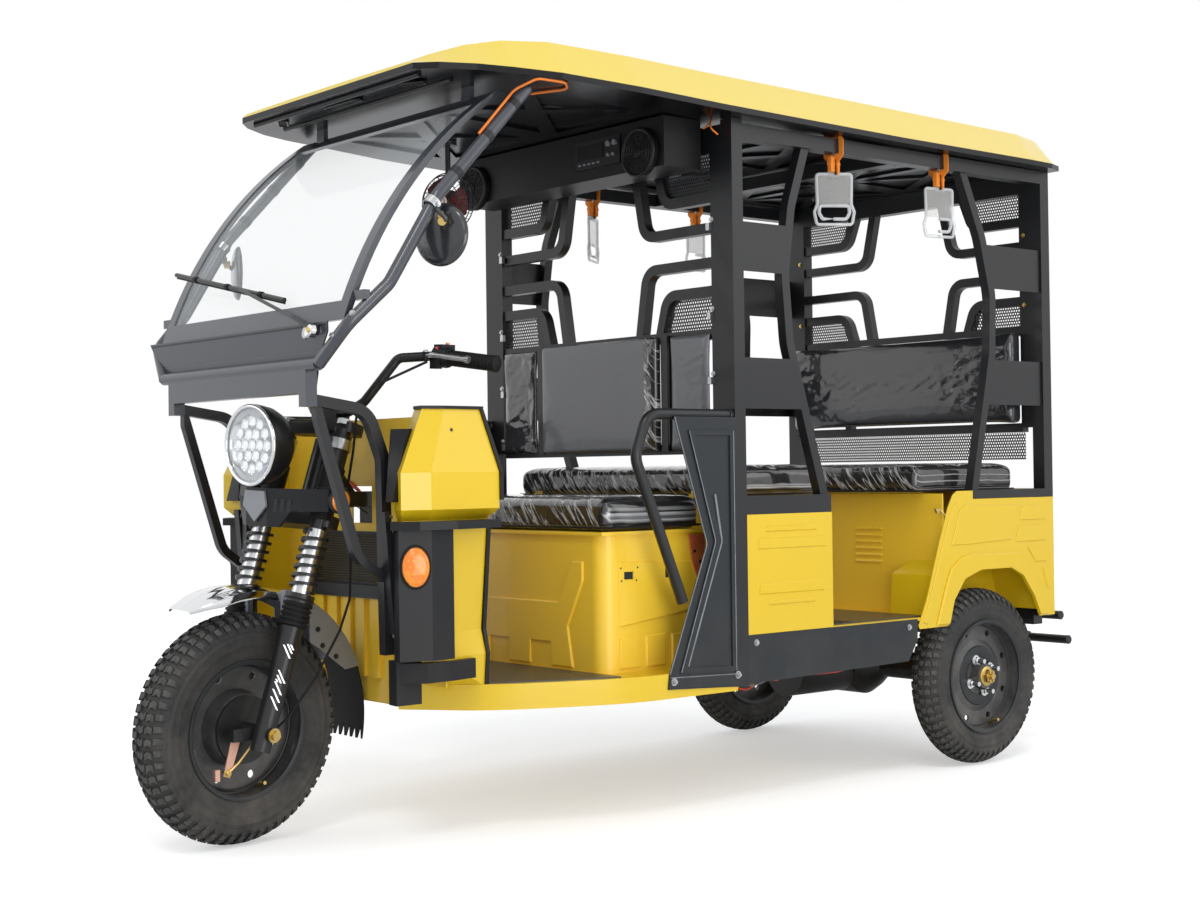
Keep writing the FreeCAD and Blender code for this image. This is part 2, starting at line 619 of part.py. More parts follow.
def windscreen_frame():
    """The flat curved frame of the windscreen with the two outer tubes that carry the roof."""
    frame = screen_band(14, 0, SCREEN_HALF, 1140, 1664)
    frame = frame.cut(block((-SCREEN_HALF + 32, SCREEN_HALF - 32), (0, 560), (1182, 1634)))
    path = [(462, 486, 1668), (460, 242, 1410), (456, 120, 1215), (430, 34, 1128), (352, 12, 1050)]
    side = tube(path, 14, 60)
    bracket = block((406, 452), (60, 76), (1180, 1200))
    hanger = block((296, 330), (425, 437), (1650, 1688))
    lug = block((GUARD_X - 14, GUARD_X + 14), (2, 30), (962, 1000))
    pieces = [side, bracket, hanger, lug]
    pieces += [mirrored(piece) for piece in pieces]
    strip = block((-314, 314), (2, 30), (990, 1046))
    return fused([frame, cylinder_x(14, -352, 352, 12, 1050), strip] + pieces)


def windscreen_glass():
    """The curved pane."""
    return screen_band(4, 5, SCREEN_HALF - 33, 1183, 1633)


def apron_panel():
    """The dark panel below the windscreen."""
    outline = [(-404, 1140), (404, 1140), (396, 1118), (350, 1074), (-350, 1074), (-396, 1118)]
    panel = plate_xz(outline, 0, 4)
    panel.rotate(Vector(0, 20, 1140), Vector(1, 0, 0), 14)
    return panel


def wiper():
    """The wiper: pivot, arm and blade in front of the pane."""
    arm = tube([(366, -13, 1119), (272, -4, 1153), (-47, 46, 1243)], 4, 40)
    blade_end = Vector(-385, 62, 1306)
    along = Vector(159, 44, 1200) - blade_end
    blade = Part.makeCylinder(5, along.Length, blade_end, along)
    pivot = cylinder_y(11, -16, 1.5, 366, 1119)
    return fused([arm, blade, pivot])


def mirrors():
    """The round rear-view mirrors on their stalks."""
    glass = Part.makeCylinder(68, 14, Vector(446, 262, 1328), Vector(0.35, -0.94, 0))
    stalk = tube([(478, 226, 1378), (486, 246, 1356), (454, 264, 1330)], 5, 8)
    return pair(fused([glass, stalk]))


# Roof and cabin frame.

def roof_section(station, drop, inset):
    """The outer line of the roof at a station, lowered and drawn in."""
    y, half, lip, flat, shoulder, crown = station
    y = min(max(y, ROOF_STATIONS[0][0] + inset), ROOF_STATIONS[-1][0] - inset)
    edge = half - inset
    flat -= inset / 2
    return [Vector(-edge, y, lip), Vector(-flat, y, shoulder - drop), Vector(0, y, crown - drop),
            Vector(flat, y, shoulder - drop), Vector(edge, y, lip)]


def roof_solid(drop, inset):
    """The space under a roof surface, lofted through the stations."""
    sections = []
    for station in ROOF_STATIONS:
        left, left_top, crown, right_top, right = roof_section(station, drop, inset)
        edges = [Part.LineSegment(left, left_top).toShape(), Part.Arc(left_top, crown, right_top).toShape(),
                 Part.LineSegment(right_top, right).toShape(), Part.LineSegment(right, left).toShape()]
        sections.append(Part.Wire(edges))
    return Part.makeLoft(sections, True, True)


def roof_skin():
    """The domed outer roof, a thin shell that sits on the tray."""
    shell = roof_solid(0, 0).cut(roof_solid(ROOF_SKIN, ROOF_SKIN * 2))
    return shell


def tray_layer(inset, low, high):
    """A layer of the roof tray between two depths below its lip."""
    sections = []
    for y, half, lip, *_ in ROOF_STATIONS:
        edge = half - inset
        points = [Vector(-edge, y, lip - low), Vector(edge, y, lip - low), Vector(edge, y, lip - high),
                  Vector(-edge, y, lip - high)]
        sections.append(Part.makePolygon(points + points[:1]))
    return Part.makeLoft(sections, True, True)


def roof_tray():
    """The dark tray under the roof skin: a lip all round and pressed bays with crossed ribs."""
    pockets = []
    for y in ((500, 900), (1125, 1400), (1410, 1680), (1730, 2000), (2010, 2280)):
        for x in ((25, 415), (-415, -25)):
            middle = Vector((x[0] + x[1]) / 2, (y[0] + y[1]) / 2, 0)
            corners = [(x[0], y[0]), (x[1], y[0]), (x[1], y[1]), (x[0], y[1])]
            for first, second in zip(corners, corners[1:] + corners[:1]):
                third = (middle.x, middle.y)
                centre = [sum(p[i] for p in (first, second, third)) / 3 for i in (0, 1)]
                shrunk = [[centre[i] + (p[i] - centre[i]) * BAY_SHRINK for i in (0, 1)]
                          for p in (first, second, third)]
                pockets.append(plate_xy(shrunk, 1600, 1720))
    pressed = tray_layer(60, ROOF_LIP + 1, ROOF_LIP - 7).common(Part.makeCompound(pockets))
    return tray_layer(0, ROOF_LIP, 0).cut(pressed)


def cabin_frame():
    """The four cabin posts and the roof rails between them."""
    x = (HALF_WIDTH - POST, HALF_WIDTH)
    top = (RAIL_FOOT, POST_TOP)
    left = [block(x, PARTITION, (POST_FOOT, 1667)), block((x[0], SKIN_X), REAR_POST, (390, WAIST[0])),
            block(x, REAR_POST, (WAIST[0], POST_TOP)),
            block(x, (PARTITION[0], REAR_POST[1]), top),
            block(x, (PARTITION[1], 1410), (708, WAIST[1])),
            block(x, (1976, REAR_POST[0]), WAIST)]
    pieces = left + [mirrored(piece) for piece in left]
    inner = HALF_WIDTH - POST
    pieces += [block((-inner, inner), PARTITION, (1590, POST_TOP)),
               block((-inner, inner), REAR_POST, (1600, POST_TOP)),
               block((-inner, inner), (1690, 1720), (RAIL_FOOT, POST_TOP))]
    return fused(pieces)


def screen_hoops(y, levels):
    """The bent window tubes of a cross frame: outer and inner pairs, above and below."""
    lower_rail, low_outer, low_inner, high_inner, high_outer, beam = levels
    edge = HALF_WIDTH - POST - 20
    hoops = []
    for leg, height in ((148, low_outer), (224, low_inner)):
        hoops.append(rail([(edge, y, height), (leg + 30, y, height), (leg, y, lower_rail)], (0, 1, 0),
                          2 * FRAME_TUBE, 2 * FRAME_TUBE, 44))
    for leg, height in ((136, high_outer), (216, high_inner)):
        hoops.append(rail([(edge, y, height), (leg + 34, y, height), (leg - 4, y, beam + 16)], (0, 1, 0),
                          2 * FRAME_TUBE, 2 * FRAME_TUBE, 44))
    return hoops + [mirrored(hoop) for hoop in hoops]


def cross_frame(y, rails, levels, dividers):
    """A welded tube frame across the cabin with a backrest bay and bent window tubes."""
    inner = HALF_WIDTH - POST
    middle = (y[0] + y[1]) / 2
    post = block((inner - 38, inner), y, (rails[0], levels[5]))
    pieces = [post, mirrored(post)]
    for low in rails:
        pieces.append(block((-inner + 38, inner - 38), (middle - 13, middle + 13), (low - 13, low + 13)))
    for x in dividers:
        pieces.append(block((x - 12, x + 12), (middle - 12, middle + 12), (rails[0], rails[1])))
    below_beam = block((-inner, inner), y, (rails[0] - 20, levels[5]))
    return fused(pieces + screen_hoops(middle, levels)).common(below_beam)


def partition_frame():
    """The frame behind the driver."""
    return cross_frame(PARTITION, (870, 1150), (1150, 1325, 1255, 1484, 1410, 1590), (-248, 256))


def rear_frame():
    """The frame behind the rear seat."""
    return cross_frame(REAR_POST, (928, 1206), (1206, 1362, 1292, 1520, 1450, 1600), (-248, 256))


def corner_mesh(y, levels):
    """The perforated panels in the four corners of a cross frame."""
    lower_rail, low_outer, low_inner, high_inner, high_outer, beam = levels
    middle = (y[0] + y[1]) / 2
    edge = HALF_WIDTH - POST - 38
    bottom, top = lower_rail + 13, low_inner - 13
    low = plate_xz([(edge, bottom), (246, bottom), (256, top), (edge, top)], middle - 1, middle + 1)
    high = plate_xz([(edge, beam), (232, beam), (252, high_inner + 14), (edge, high_inner + 14)],
                    middle - 1, middle + 1)
    return [low, high, mirrored(low), mirrored(high)]


def mesh_panels():
    """All perforated panels of the two cross frames."""
    pieces = corner_mesh(PARTITION, (1150, 1325, 1255, 1484, 1410, 1590))
    pieces += corner_mesh(REAR_POST, (1206, 1362, 1292, 1520, 1450, 1600))
    middle = (REAR_POST[0] + REAR_POST[1]) / 2
    pieces.append(block((-423, 423), (middle - 1, middle + 1), (836, 914)))
    frames = Part.makeCompound([partition_frame(), rear_frame()])
    return Part.makeCompound([piece.cut(frames) for piece in pieces])


def partition_pads():
    """The driver's backrest: three flat pads in the bays of the frame."""
    front = PARTITION[0] - 24
    return Part.makeCompound([
        block((-422, -262), (front + 16, PARTITION[0] + 5), (860, 1160)),
        block((-234, 242), (front, PARTITION[0] + 5), (860, 1160)),
        block((270, 422), (front + 16, PARTITION[0] + 5), (860, 1160)),
    ])


def rear_backrest():
    """The padded backrest of the rear seat."""
    return block((-440, 440), (REAR_POST[0] - 58, REAR_POST[0]), (934, 1208))


def side_screens():
    """The ladder screens at the sides: a bent tube and two plates, in front of and behind the door."""
    x = HALF_WIDTH - POST / 2
    across = (1, 0, 0)
    front = rail([(x, 1342, 1630), (x, 1286, 1470), (x, 1262, 1300), (x, 1276, 1130), (x, 1396, 738)],
                 across, 26, 26, 160)
    rear = rail([(x, 1958, 1630), (x, 2042, 1450), (x, 2084, 1290), (x, 2078, 1130), (x, 1990, 738)],
                across, 26, 26, 160)
    height = block((x - 20, x + 20), (1100, 2300), (WAIST[1], RAIL_FOOT))
    skins = (x + 10, x + 13)
    front_plates = [plate_yz([(1112, 1300), (1262, 1300), (1274, 1420), (1112, 1420)], *skins),
                    plate_yz([(1112, 966), (1320, 966), (1280, 1090), (1112, 1090)], *skins)]
    rear_plates = [plate_yz([(2080, 1310), (2299, 1310), (2299, 1430), (2052, 1430)], *skins),
                   plate_yz([(2048, 988), (2299, 988), (2299, 1112), (2074, 1112)], *skins)]
    screens = [fused([front.common(height)] + front_plates), fused([rear.common(height)] + rear_plates)]
    return Part.makeCompound(screens + [mirrored(screen) for screen in screens])


def speaker_beam():
    """The overhead box for sound, with a round speaker at each end."""
    box = block((-420, 420), (930, 1050), (1548, 1668))
    speakers = [cylinder_y(58, 918, 932, x, 1588) for x in (-340, 340)]
    return fused([box] + speakers)


def cabin_fan():
    """The small fan in its round cage."""
    cage = Part.makeCylinder(78, 40, Vector(-220, 760, 1520), Vector(0.3, -0.9, 0))
    stalk = Part.makeCylinder(7, 88, Vector(-216, 748, 1590), Vector(0, 0, 1))
    return fused([cage, stalk])


def hand_strap(y, turn):
    """One hand strap: a web looped over the roof rail, its buckle and a clear handle."""
    x = HALF_WIDTH - POST / 2
    half = POST / 2
    near, far, top = x - half - 3, x + half + 3, POST_TOP + 3
    outer = [(near, top), (far, top), (far, RAIL_FOOT), (x + 4, 1598), (x - 4, 1598), (near, RAIL_FOOT)]
    rail_room = block((x - half - 0.3, x + half + 0.3), (y - 15, y + 15), (RAIL_FOOT - 0.3, POST_TOP + 0.3))
    loop = plate_xz(outer, y - 14, y + 14).cut(rail_room)
    buckle = block((x - 6, x + 6), (y - 17, y + 17), (1592, 1606))
    web = block((x - 2, x + 2), (y - 13, y + 13), (1562, 1596))
    side = [(48, 1570), (46, 1492), (54, 1474), (50, 1448), (38, 1438)]
    grip = [(34, 1484), (37, 1466), (28, 1454)]
    plate = plate_yz([(y + dy, z) for dy, z in side + [(-dy, z) for dy, z in reversed(side)]], x - 4, x + 4)
    grip += [(-dy, z) for dy, z in reversed(grip)]
    plate = plate.cut(plate_yz([(y + dy, z) for dy, z in grip], x - 9, x + 9))
    plate.rotate(Vector(x, y, 1570), Vector(0, 0, 1), turn)
    return fused([loop, buckle, web, plate])


def hand_straps():
    """The hand straps along both roof rails."""
    straps = [hand_strap(1458, -34), hand_strap(1874, -12)]
    return Part.makeCompound(straps + [mirrored(strap) for strap in straps])


# Seats.

def pressed(outline, plane, at, rise, slope=2.5):
    """A panel pressed outward from a sheet face, with sloping borders.

    The plane is "yz" for a face at X = at and "xz" for one at Y = at, where it rises toward -Y.
    """
    if plane == "yz":
        plate = plate_yz(outline, at - 1, at + rise)
        rims = [edge for edge in plate.Edges if edge.BoundBox.XMin > at + rise - 0.1]
    else:
        plate = plate_xz(outline, at + 1, at - rise)
        rims = [edge for edge in plate.Edges if edge.BoundBox.YMax < at - rise + 0.1]
    return plate.makeChamfer(slope, rims)


def driver_box():
    """The pressed steel box under the driver's seat, open below, with a lip round its top."""
    front, rear = 738.0, 1064.0
    solid = block((-400, 400), (front, rear), (SILL[1], 668))
    hollow = block((-400 + SHEET, 400 - SHEET), (front + SHEET, rear - SHEET), (300, 668 - SHEET))
    noses = [edge for edge in solid.Edges if edge.BoundBox.ZLength > 300 and edge.BoundBox.YMax < front + 1]
    solid = solid.makeFillet(38, noses)
    noses = [edge for edge in hollow.Edges if edge.BoundBox.ZLength > 300 and edge.BoundBox.YMax < front + 4]
    shell = solid.cut(hollow.makeFillet(35, noses))
    lip = block((-410, 410), (728, 1068), (668, 676))
    half = [(290, 354), (272, 450), (330, 560), (330, 606), (291, 606), (235, 508)]
    face = pressed([(-x, z) for x, z in half] + half[::-1], "xz", front, 5)
    niches = [block((x - 42, x + 42), (front - 9, front), (346, 412)) for x in (-167, 0, 167)]
    flank = [pressed([(786, 604), (1036, 600), (1036, 486), (968, 474), (786, 452)], "yz", 400, 4)]
    for y in (786, 868, 950):
        flank.append(pressed([(y, 354), (y + 62, 354), (y + 62, 430), (y, 427)], "yz", 400, 4))
    flank += [mirrored(piece) for piece in flank]
    box = fused([shell, face.cut(Part.makeCompound(niches)), lip] + flank)
    return box.cut(block((390, 410), (800, 829), (563, 581)))


def front_bench():
    """The bench box under the front passenger seat, open below."""
    shell = block((-458, 458), (1116, 1408), (DECK_Z, 752))
    return shell.cut(block((-455, 455), (1119, 1405), (400, 749)))


def wheel_box(inset):
    """The space of the left rear wheel box above the deck: flat-topped, with sloping inner edge."""
    side = plate_yz([(1800 + inset, 405), (1812 + inset, 528), (1866, 582 - inset), (1960, 597 - inset),
                     (2150, 600 - inset), (2236, 540 - inset), (2276 - inset, 405)], 350 + inset, SKIN_X)
    front = plate_xz([(350 + inset, 405), (350 + inset, 530), (406, 586 - inset), (SKIN_X, 602 - inset),
                      (SKIN_X, 405)], 1790, 2290)
    return side.common(front)


def rear_bench():
    """The bench box under the rear seat, open below, with louvres at its left."""
    low, high = REAR_BENCH
    shell = block((-346, 346), (low, high), (412, 746))
    shell = shell.cut(block((-343, 343), (low + SHEET, high - SHEET), (400, 743)))
    wall = block((-SKIN_X, SKIN_X), (low, low + 3), (DECK_Z, 746)).cut(pair(wheel_box(0)))
    for step in range(6):
        z = 552 + step * 18
        shell = shell.cut(block((187, 283), (low - 5, low + 10), (z, z + 6)))
        hood = plate_yz([(low + 1, z + 5), (low + 1, z + 12), (low - 5, z + 5)], 187, 283)
        shell = shell.fuse(hood)
    return fused([shell, wall])


def cushion(x, y, z):
    """A plain padded seat with softened edges."""
    pad = block(x, y, z)
    upright = [edge for edge in pad.Edges if abs(edge.Vertexes[0].Z - edge.Vertexes[1].Z) > 1]
    pad = pad.makeFillet(30, upright)
    rims = [edge for edge in pad.Edges if abs(edge.BoundBox.ZMax - edge.BoundBox.ZMin) < 0.1]
    return pad.makeChamfer(9, rims)


def battery_block():
    """The battery pack under the front bench."""
    return block((-300, 300), (1140, 1390), (DECK_Z, 660))


# Side and rear body.

def arm_hoop():
    """The arm rail beside the driver, bent from the post round and down to the kick panel."""
    x = HALF_WIDTH - 16
    return rail([(x, 1076, 950), (x, 806, 950), (x, 768, 850), (x, 912, 508)], (1, 0, 0), 26, 26, 56)


def kick_panel():
    """The pressed panel between the arm rail and the sill, with a raised border."""
    outline = [(878, 944), (1076, 944), (1076, 297), (848, 309), (853, 343), (978, 642)]
    panel = plate_yz(outline, SKIN_X, HALF_WIDTH)
    border = plate_yz([(922, 912), (1066, 912), (1066, 336), (886, 344), (1004, 648)], SKIN_X, HALF_WIDTH + 4)
    inside = plate_yz([(942, 900), (1054, 900), (1054, 348), (906, 356), (1022, 648)],
                      HALF_WIDTH, HALF_WIDTH + 9)
    foot = plate_yz([(849, 310), (1075, 300), (1075, 328), (852, 336)], HALF_WIDTH - 1, HALF_WIDTH + 2)
    return fused([panel, border.cut(inside), foot])


def side_panel():
    """The flat yellow panel beside the front bench."""
    panel = block((SKIN_X, HALF_WIDTH), (1112, 1412), (418, 708))
    fields = (((1148, 1386), (623, 650)), ((1176, 1354), (665, 679)), ((1150, 1380), (513, 540)),
              ((1182, 1346), (486, 497)))
    beads = [pressed([(y[0], z[0]), (y[1], z[0]), (y[1], z[1]), (y[0], z[1])], "yz", HALF_WIDTH, 3)
             for y, z in fields]
    return fused([panel] + beads)


def side_skirt():
    """The dark skirt below the passenger deck."""
    return plate_yz([(1112, 417), (1738, 417), (1736, 362), (1699, 309), (1112, 300)], SKIN_X, HALF_WIDTH)


def rear_quarter(side):
    """The rear wing: outer skin with its wheel opening, and the inner wheel arch."""
    skin = plate_yz([(1742, 400), (1775, 465), (1833, 622), (1868, 707), (1890, 742), (1908, 752), (1975, 752),
                     (1975, 729), (BODY_REAR, 729), (BODY_REAR, 394), (1746, 390)], SKIN_X, HALF_WIDTH)
    opening = [(1858, 380), (1883, 459), (1930, 515), (2000, 536), (2133, 536), (2187, 512), (2236, 453),
               (2274, 380)]
    flare = plate_yz([(1812, 394), (1850, 492), (1874, 542), (1916, 570), (1960, 580), (2172, 578),
                      (2218, 548), (2262, 480), (2303, 396)], SKIN_X, HALF_WIDTH + 7)
    rims = [edge for edge in flare.Edges if edge.BoundBox.XMin > HALF_WIDTH + 6.9]
    flare = flare.makeChamfer(4, rims)
    nose = pressed([(1757, 406), (1790, 470), (1848, 622), (1884, 708), (1904, 722), (1870, 614), (1810, 466),
                    (1778, 400)], "yz", HALF_WIDTH, 3, 2)
    fields = [[(1880, 606), (1918, 702), (1942, 714), (2170, 710), (2140, 614), (1960, 606)],
              [(2191, 706), (2300, 706), (2300, 666), (2180, 666)],
              [(2176, 653), (2298, 653), (2298, 606), (2160, 606)],
              [(2212, 590), (2298, 590), (2298, 547), (2250, 547)],
              [(2282, 528), (2314, 528), (2312, 470), (2302, 470)]]
    fields = [pressed(field, "yz", HALF_WIDTH, 3, 2) for field in fields]
    skin = fused([skin, flare, nose] + fields).cut(plate_yz(opening, SKIN_X - 10, HALF_WIDTH + 10))
    box = wheel_box(0).cut(wheel_box(SHEET)).common(block((350, SKIN_X), (1790, 2290), (412, 700)))
    wing = fused([skin, box])
    return wing if side > 0 else mirrored(wing)


def rear_panel():
    """The rear panel of the body."""
    return block((-SKIN_X, SKIN_X), (BODY_REAR, BODY_REAR + SHEET), (394, 753))


def tail_lamps():
    """The upright lamps at the rear corners."""
    return pair(block((420, 480), (BODY_REAR + SHEET, BODY_REAR + 24), (560, 700)))


def rear_bumper():
    """The two-bar rear bumper on its brackets."""
    pieces = [cylinder_x(12.5, -470, 470, 2404, 385), cylinder_x(12.5, -470, 470, 2440, 312)]
    for side in (-1, 1):
        x = sorted((side * 300, side * 330))
        pieces.append(plate_yz([(2330, 392), (2345, 393), (2404, 399), (2452, 300), (2428, 300),
                                (2392, 373), (2330, 368)], x[0], x[1]))
    pieces += [cylinder_x(17, *sorted((side * 298, side * 332)), y, z)
               for side in (-1, 1) for y, z in ((2404, 385), (2440, 312))]
    return fused(pieces)


def brake_cable():
    """The front brake cable, from the lever down behind the left fork leg to the brake arm."""
    route = [(222, 352, 1082), (166, 238, 1022), (138, 216, 956), (134, 212, 880), (112, 212, 780),
             (112, 226, 640), (116, 222, 540), (114, 196, 470), (110, 130, 366), (100, 62, 284), (58, 0, 216)]
    return tube(route, 3, 30)


def roof_lead():
    """The lead that lies on the left screen tube, loops along the ceiling and goes inward."""
    route = [(462, 352, 1552.5), (462, 450, 1660), (498, 486, 1683.5), (506, 560, 1682.5), (460, 602, 1681),
             (372, 566, 1681)]
    return tube(route, 3, 30)


def build():
    """Make every piece and write it."""
    os.makedirs("parts", exist_ok=True)
    save("chassis_frame", chassis_frame())
    save("floor_pan", floor_pan())
    save("floor_mats", floor_mats())
    save("front_cowl", front_cowl())
    save("cowl_grille", cowl_grille())
    save("leg_shields", pair(leg_shield()))
    save("shield_mouldings", pair(Part.makeCompound([shield_moulding()] + shield_edging())))
    save("shield_collars", pair(shield_collar()))
    save("front_indicators", pair(front_indicator()))
    save("guard_hoops", pair(guard_hoop()))
    save("windscreen_frame", windscreen_frame())
    save("windscreen_glass", windscreen_glass())
    save("apron_panel", apron_panel())
    save("wiper", wiper())
    save("mirrors", mirrors())
    save("roof_skin", roof_skin())
    save("roof_tray", roof_tray())
    save("cabin_frame", cabin_frame())
    save("partition_frame", partition_frame())
    save("rear_frame", rear_frame())
    save("mesh_panels", mesh_panels())
    save("partition_pads", partition_pads())
    save("rear_backrest", rear_backrest())
    save("side_screens", side_screens())
    save("speaker_beam", speaker_beam())
    save("cabin_fan", cabin_fan())
    save("hand_straps", hand_straps())
    save("driver_box", driver_box())
    save("driver_cushion", cushion((-420, 420), (732, 1050), (676, 756)))
    save("front_bench", front_bench())
    save("front_bench_cushion", cushion((-430, 430), (1118, 1490), (752, 826)))
    save("rear_bench", rear_bench())
    save("rear_bench_cushion", cushion((-455, 455), (1790, 2238), (746, 824)))
    save("battery_block", battery_block())
    save("arm_hoops", pair(arm_hoop()))
    save("kick_panels", pair(kick_panel()))
    save("side_panels", pair(side_panel()))
    save("side_skirts", pair(side_skirt()))
    save("rear_quarters", Part.makeCompound([rear_quarter(1), rear_quarter(-1)]))
    save("rear_panel", rear_panel())
    save("tail_lamps", tail_lamps())
    save("rear_bumper", rear_bumper())
    save("rear_axle", rear_axle())
    save("leaf_springs", pair(leaf_spring()))
    save("roof_lead", roof_lead())
    save("fork", steered(fork()))
    save("fork_cover", steered(fork_cover()))
    save("headlamp", steered(headlamp()))
    save("handlebar", steered(handlebar()))
    save("brake_cable", steered(brake_cable()))
    save("mudguard", steered(mudguard()))
    save("mud_flap", steered(mud_flap()))
    save("front_tyre", steered(front_tyre()))
    save("front_wheel", steered(front_wheel()))
    for side, name in ((1, "left"), (-1, "right")):
        centre = (side * TRACK_HALF, WHEELBASE, REAR_TYRE[0])
        save("rear_tyre_%s" % name, tyre(REAR_TYRE[0], REAR_TYRE[1], centre))
        save("rear_wheel_%s" % name, rear_wheel(side))
    box = Part.makeCompound(list(NODES.values())).BoundBox
    print("pieces", len(NODES))
    print("X %.1f to %.1f, Y %.1f to %.1f, Z %.1f to %.1f"
          % (box.XMin, box.XMax, box.YMin, box.YMax, box.ZMin, box.ZMax))


build()
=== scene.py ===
"""Looks of the electric auto rickshaw: finishes, trim, treads, cushions and fittings.

Sizes are millimetres in the vehicle's own frame: Y = 0 at the front axle, the nose towards -Y, the
left side +X and the ground at Z = 0. Each draft is moved to the stored frame when it becomes a piece.
"""

import enum
import json
import logging
from collections.abc import Iterable, Sequence
from dataclasses import dataclass, field
from math import cos, pi, radians, sin, tan

import bmesh
import bpy
from mathutils import Matrix, Vector, noise

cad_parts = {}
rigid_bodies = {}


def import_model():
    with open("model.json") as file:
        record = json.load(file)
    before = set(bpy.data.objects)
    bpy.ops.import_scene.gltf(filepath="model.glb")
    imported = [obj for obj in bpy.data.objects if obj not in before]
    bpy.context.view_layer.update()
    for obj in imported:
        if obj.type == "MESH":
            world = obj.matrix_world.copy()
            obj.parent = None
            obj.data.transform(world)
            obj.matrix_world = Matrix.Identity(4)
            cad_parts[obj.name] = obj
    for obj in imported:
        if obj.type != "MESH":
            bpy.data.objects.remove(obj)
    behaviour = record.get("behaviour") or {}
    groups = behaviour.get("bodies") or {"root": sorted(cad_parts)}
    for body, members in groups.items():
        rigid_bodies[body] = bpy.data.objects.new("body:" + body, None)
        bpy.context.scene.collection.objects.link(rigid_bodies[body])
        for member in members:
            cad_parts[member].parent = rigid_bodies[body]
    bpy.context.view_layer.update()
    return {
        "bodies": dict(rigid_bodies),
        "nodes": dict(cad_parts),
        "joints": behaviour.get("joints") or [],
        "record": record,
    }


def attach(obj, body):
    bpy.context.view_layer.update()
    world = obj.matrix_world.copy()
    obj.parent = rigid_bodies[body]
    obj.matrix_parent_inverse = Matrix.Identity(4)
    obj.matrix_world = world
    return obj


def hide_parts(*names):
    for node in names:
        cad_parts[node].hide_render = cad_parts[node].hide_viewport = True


log = logging.getLogger("rickshaw")

ORIGIN_Y = 1099.5
MM = 0.001
FRONT_HUB = (0, 0, 258)
LEFT_HUB = (447, 2037, 241)
RIGHT_HUB = (-447, 2037, 241)
SURFACE = ("Height", "Tone")
DUST = (0.36, 0.32, 0.27, 1)
WHITE = (1, 1, 1, 1)
STEEP = 0.9
LEFT = Vector((1, 0, 0))
AHEAD = Vector((0, -1, 0))
BACK = Vector((0, 1, 0))
UP = Vector((0, 0, 1))
SQUARE = ((-1, -1), (1, -1), (1, 1), (-1, 1))
Point = tuple[float, float, float]
Flat = tuple[float, float]
Place = Sequence[float]
Socket = bpy.types.NodeSocket


class Body(enum.Enum):
    """The moving bodies that pieces ride on."""

    CABIN = "body"
    STEERING = "steering"
    FRONT_WHEEL = "front_wheel_set"
    LEFT_WHEEL = "rear_left_wheel"
    RIGHT_WHEEL = "rear_right_wheel"


class Texture(enum.Enum):
    """Fine surface effects that a finish can have."""

    PLAIN = "plain"
    PEEL = "orange peel"
    GRAIN = "moulded grain"
    FILM = "wrinkled film"
    HOLES = "perforated"
    SCUFF = "scuffed"
    CREASE = "bunched film"


@dataclass(frozen=True)
class Steering:
    """The raked steering axis and the angle at which the vehicle is parked."""

    rake: float = radians(17.5)
    set_back: float = 40.0
    hub_z: float = 258.0
    parked: float = radians(8.0)

    def axis(self) -> Vector:
        """Return the direction of the steering axis."""
        return Vector((0, sin(self.rake), cos(self.rake)))

    def matrix(self) -> Matrix:
        """Return the turn from straight ahead to the parked angle."""
        point = Vector((0, self.set_back, self.hub_z))
        turn = Matrix.Rotation(self.parked, 4, self.axis())
        return Matrix.Translation(point) @ turn @ Matrix.Translation(-point)

    def leg(self, x: float, z: float) -> Vector:
        """Return the centre of a fork leg at height z, straight ahead."""
        return Vector((x, (z - self.hub_z) * tan(self.rake), z))


STEERING = Steering()


# Shaders.


class Nodes:
    """A small helper that adds and links shader nodes in one tree."""

    def __init__(self, tree: bpy.types.NodeTree) -> None:
        """Take the tree to work on.

        Args:
            tree: A material's or group's node tree.
        """
        self.tree = tree

    def add(self, kind: str, inputs: dict | None = None, **settings: object) -> bpy.types.Node:
        """Add a node, set its properties and fill or link its inputs.

        Args:
            kind: The node's type name.
            inputs: Values or output sockets for inputs, by name or index.
            settings: Attributes of the node.

        Returns:
            The new node.
        """
        node = self.tree.nodes.new(kind)
        for name, value in settings.items():
            setattr(node, name, value)
        for key, value in (inputs or {}).items():
            socket = node.inputs[key]
            if isinstance(value, Socket):
                self.tree.links.new(value, socket)
            else:
                socket.default_value = value
        return node

    def math(self, operation: str, first: object, second: object = 0.0) -> Socket:
        """Add a math node and return its result."""
        return self.add("ShaderNodeMath", {0: first, 1: second}, operation=operation).outputs[0]

    def times(self, first: object, second: object) -> Socket:
        """Multiply two values."""
        return self.math("MULTIPLY", first, second)

    def spread(self, value: object, low: float, high: float, to_low: float = 0.0,
               to_high: float = 1.0) -> Socket:
        """Map a value from one range to another, clamped."""
        inputs = {0: value, 1: low, 2: high, 3: to_low, 4: to_high}
        return self.add("ShaderNodeMapRange", inputs).outputs[0]

    def blend(self, amount: object, first: object, second: object) -> Socket:
        """Mix two colours by an amount."""
        inputs = {"Factor": amount, "A": first, "B": second}
        return self.add("ShaderNodeMix", inputs, data_type="RGBA").outputs["Result"]

    def scaled(self, place: object, factors: Point) -> Socket:
        """Multiply a vector by one factor for each axis."""
        return self.add("ShaderNodeVectorMath", {0: place, 1: factors}, operation="MULTIPLY").outputs[0]

    def ridges(self, place: object, scale: object, detail: float, rough: float) -> Socket:
        """Add ridged noise and return its height."""
        inputs = {"Vector": place, "Scale": scale, "Detail": detail, "Roughness": rough}
        return self.add("ShaderNodeTexNoise", inputs, noise_type="RIDGED_MULTIFRACTAL",
                        normalize=True).outputs["Fac"]


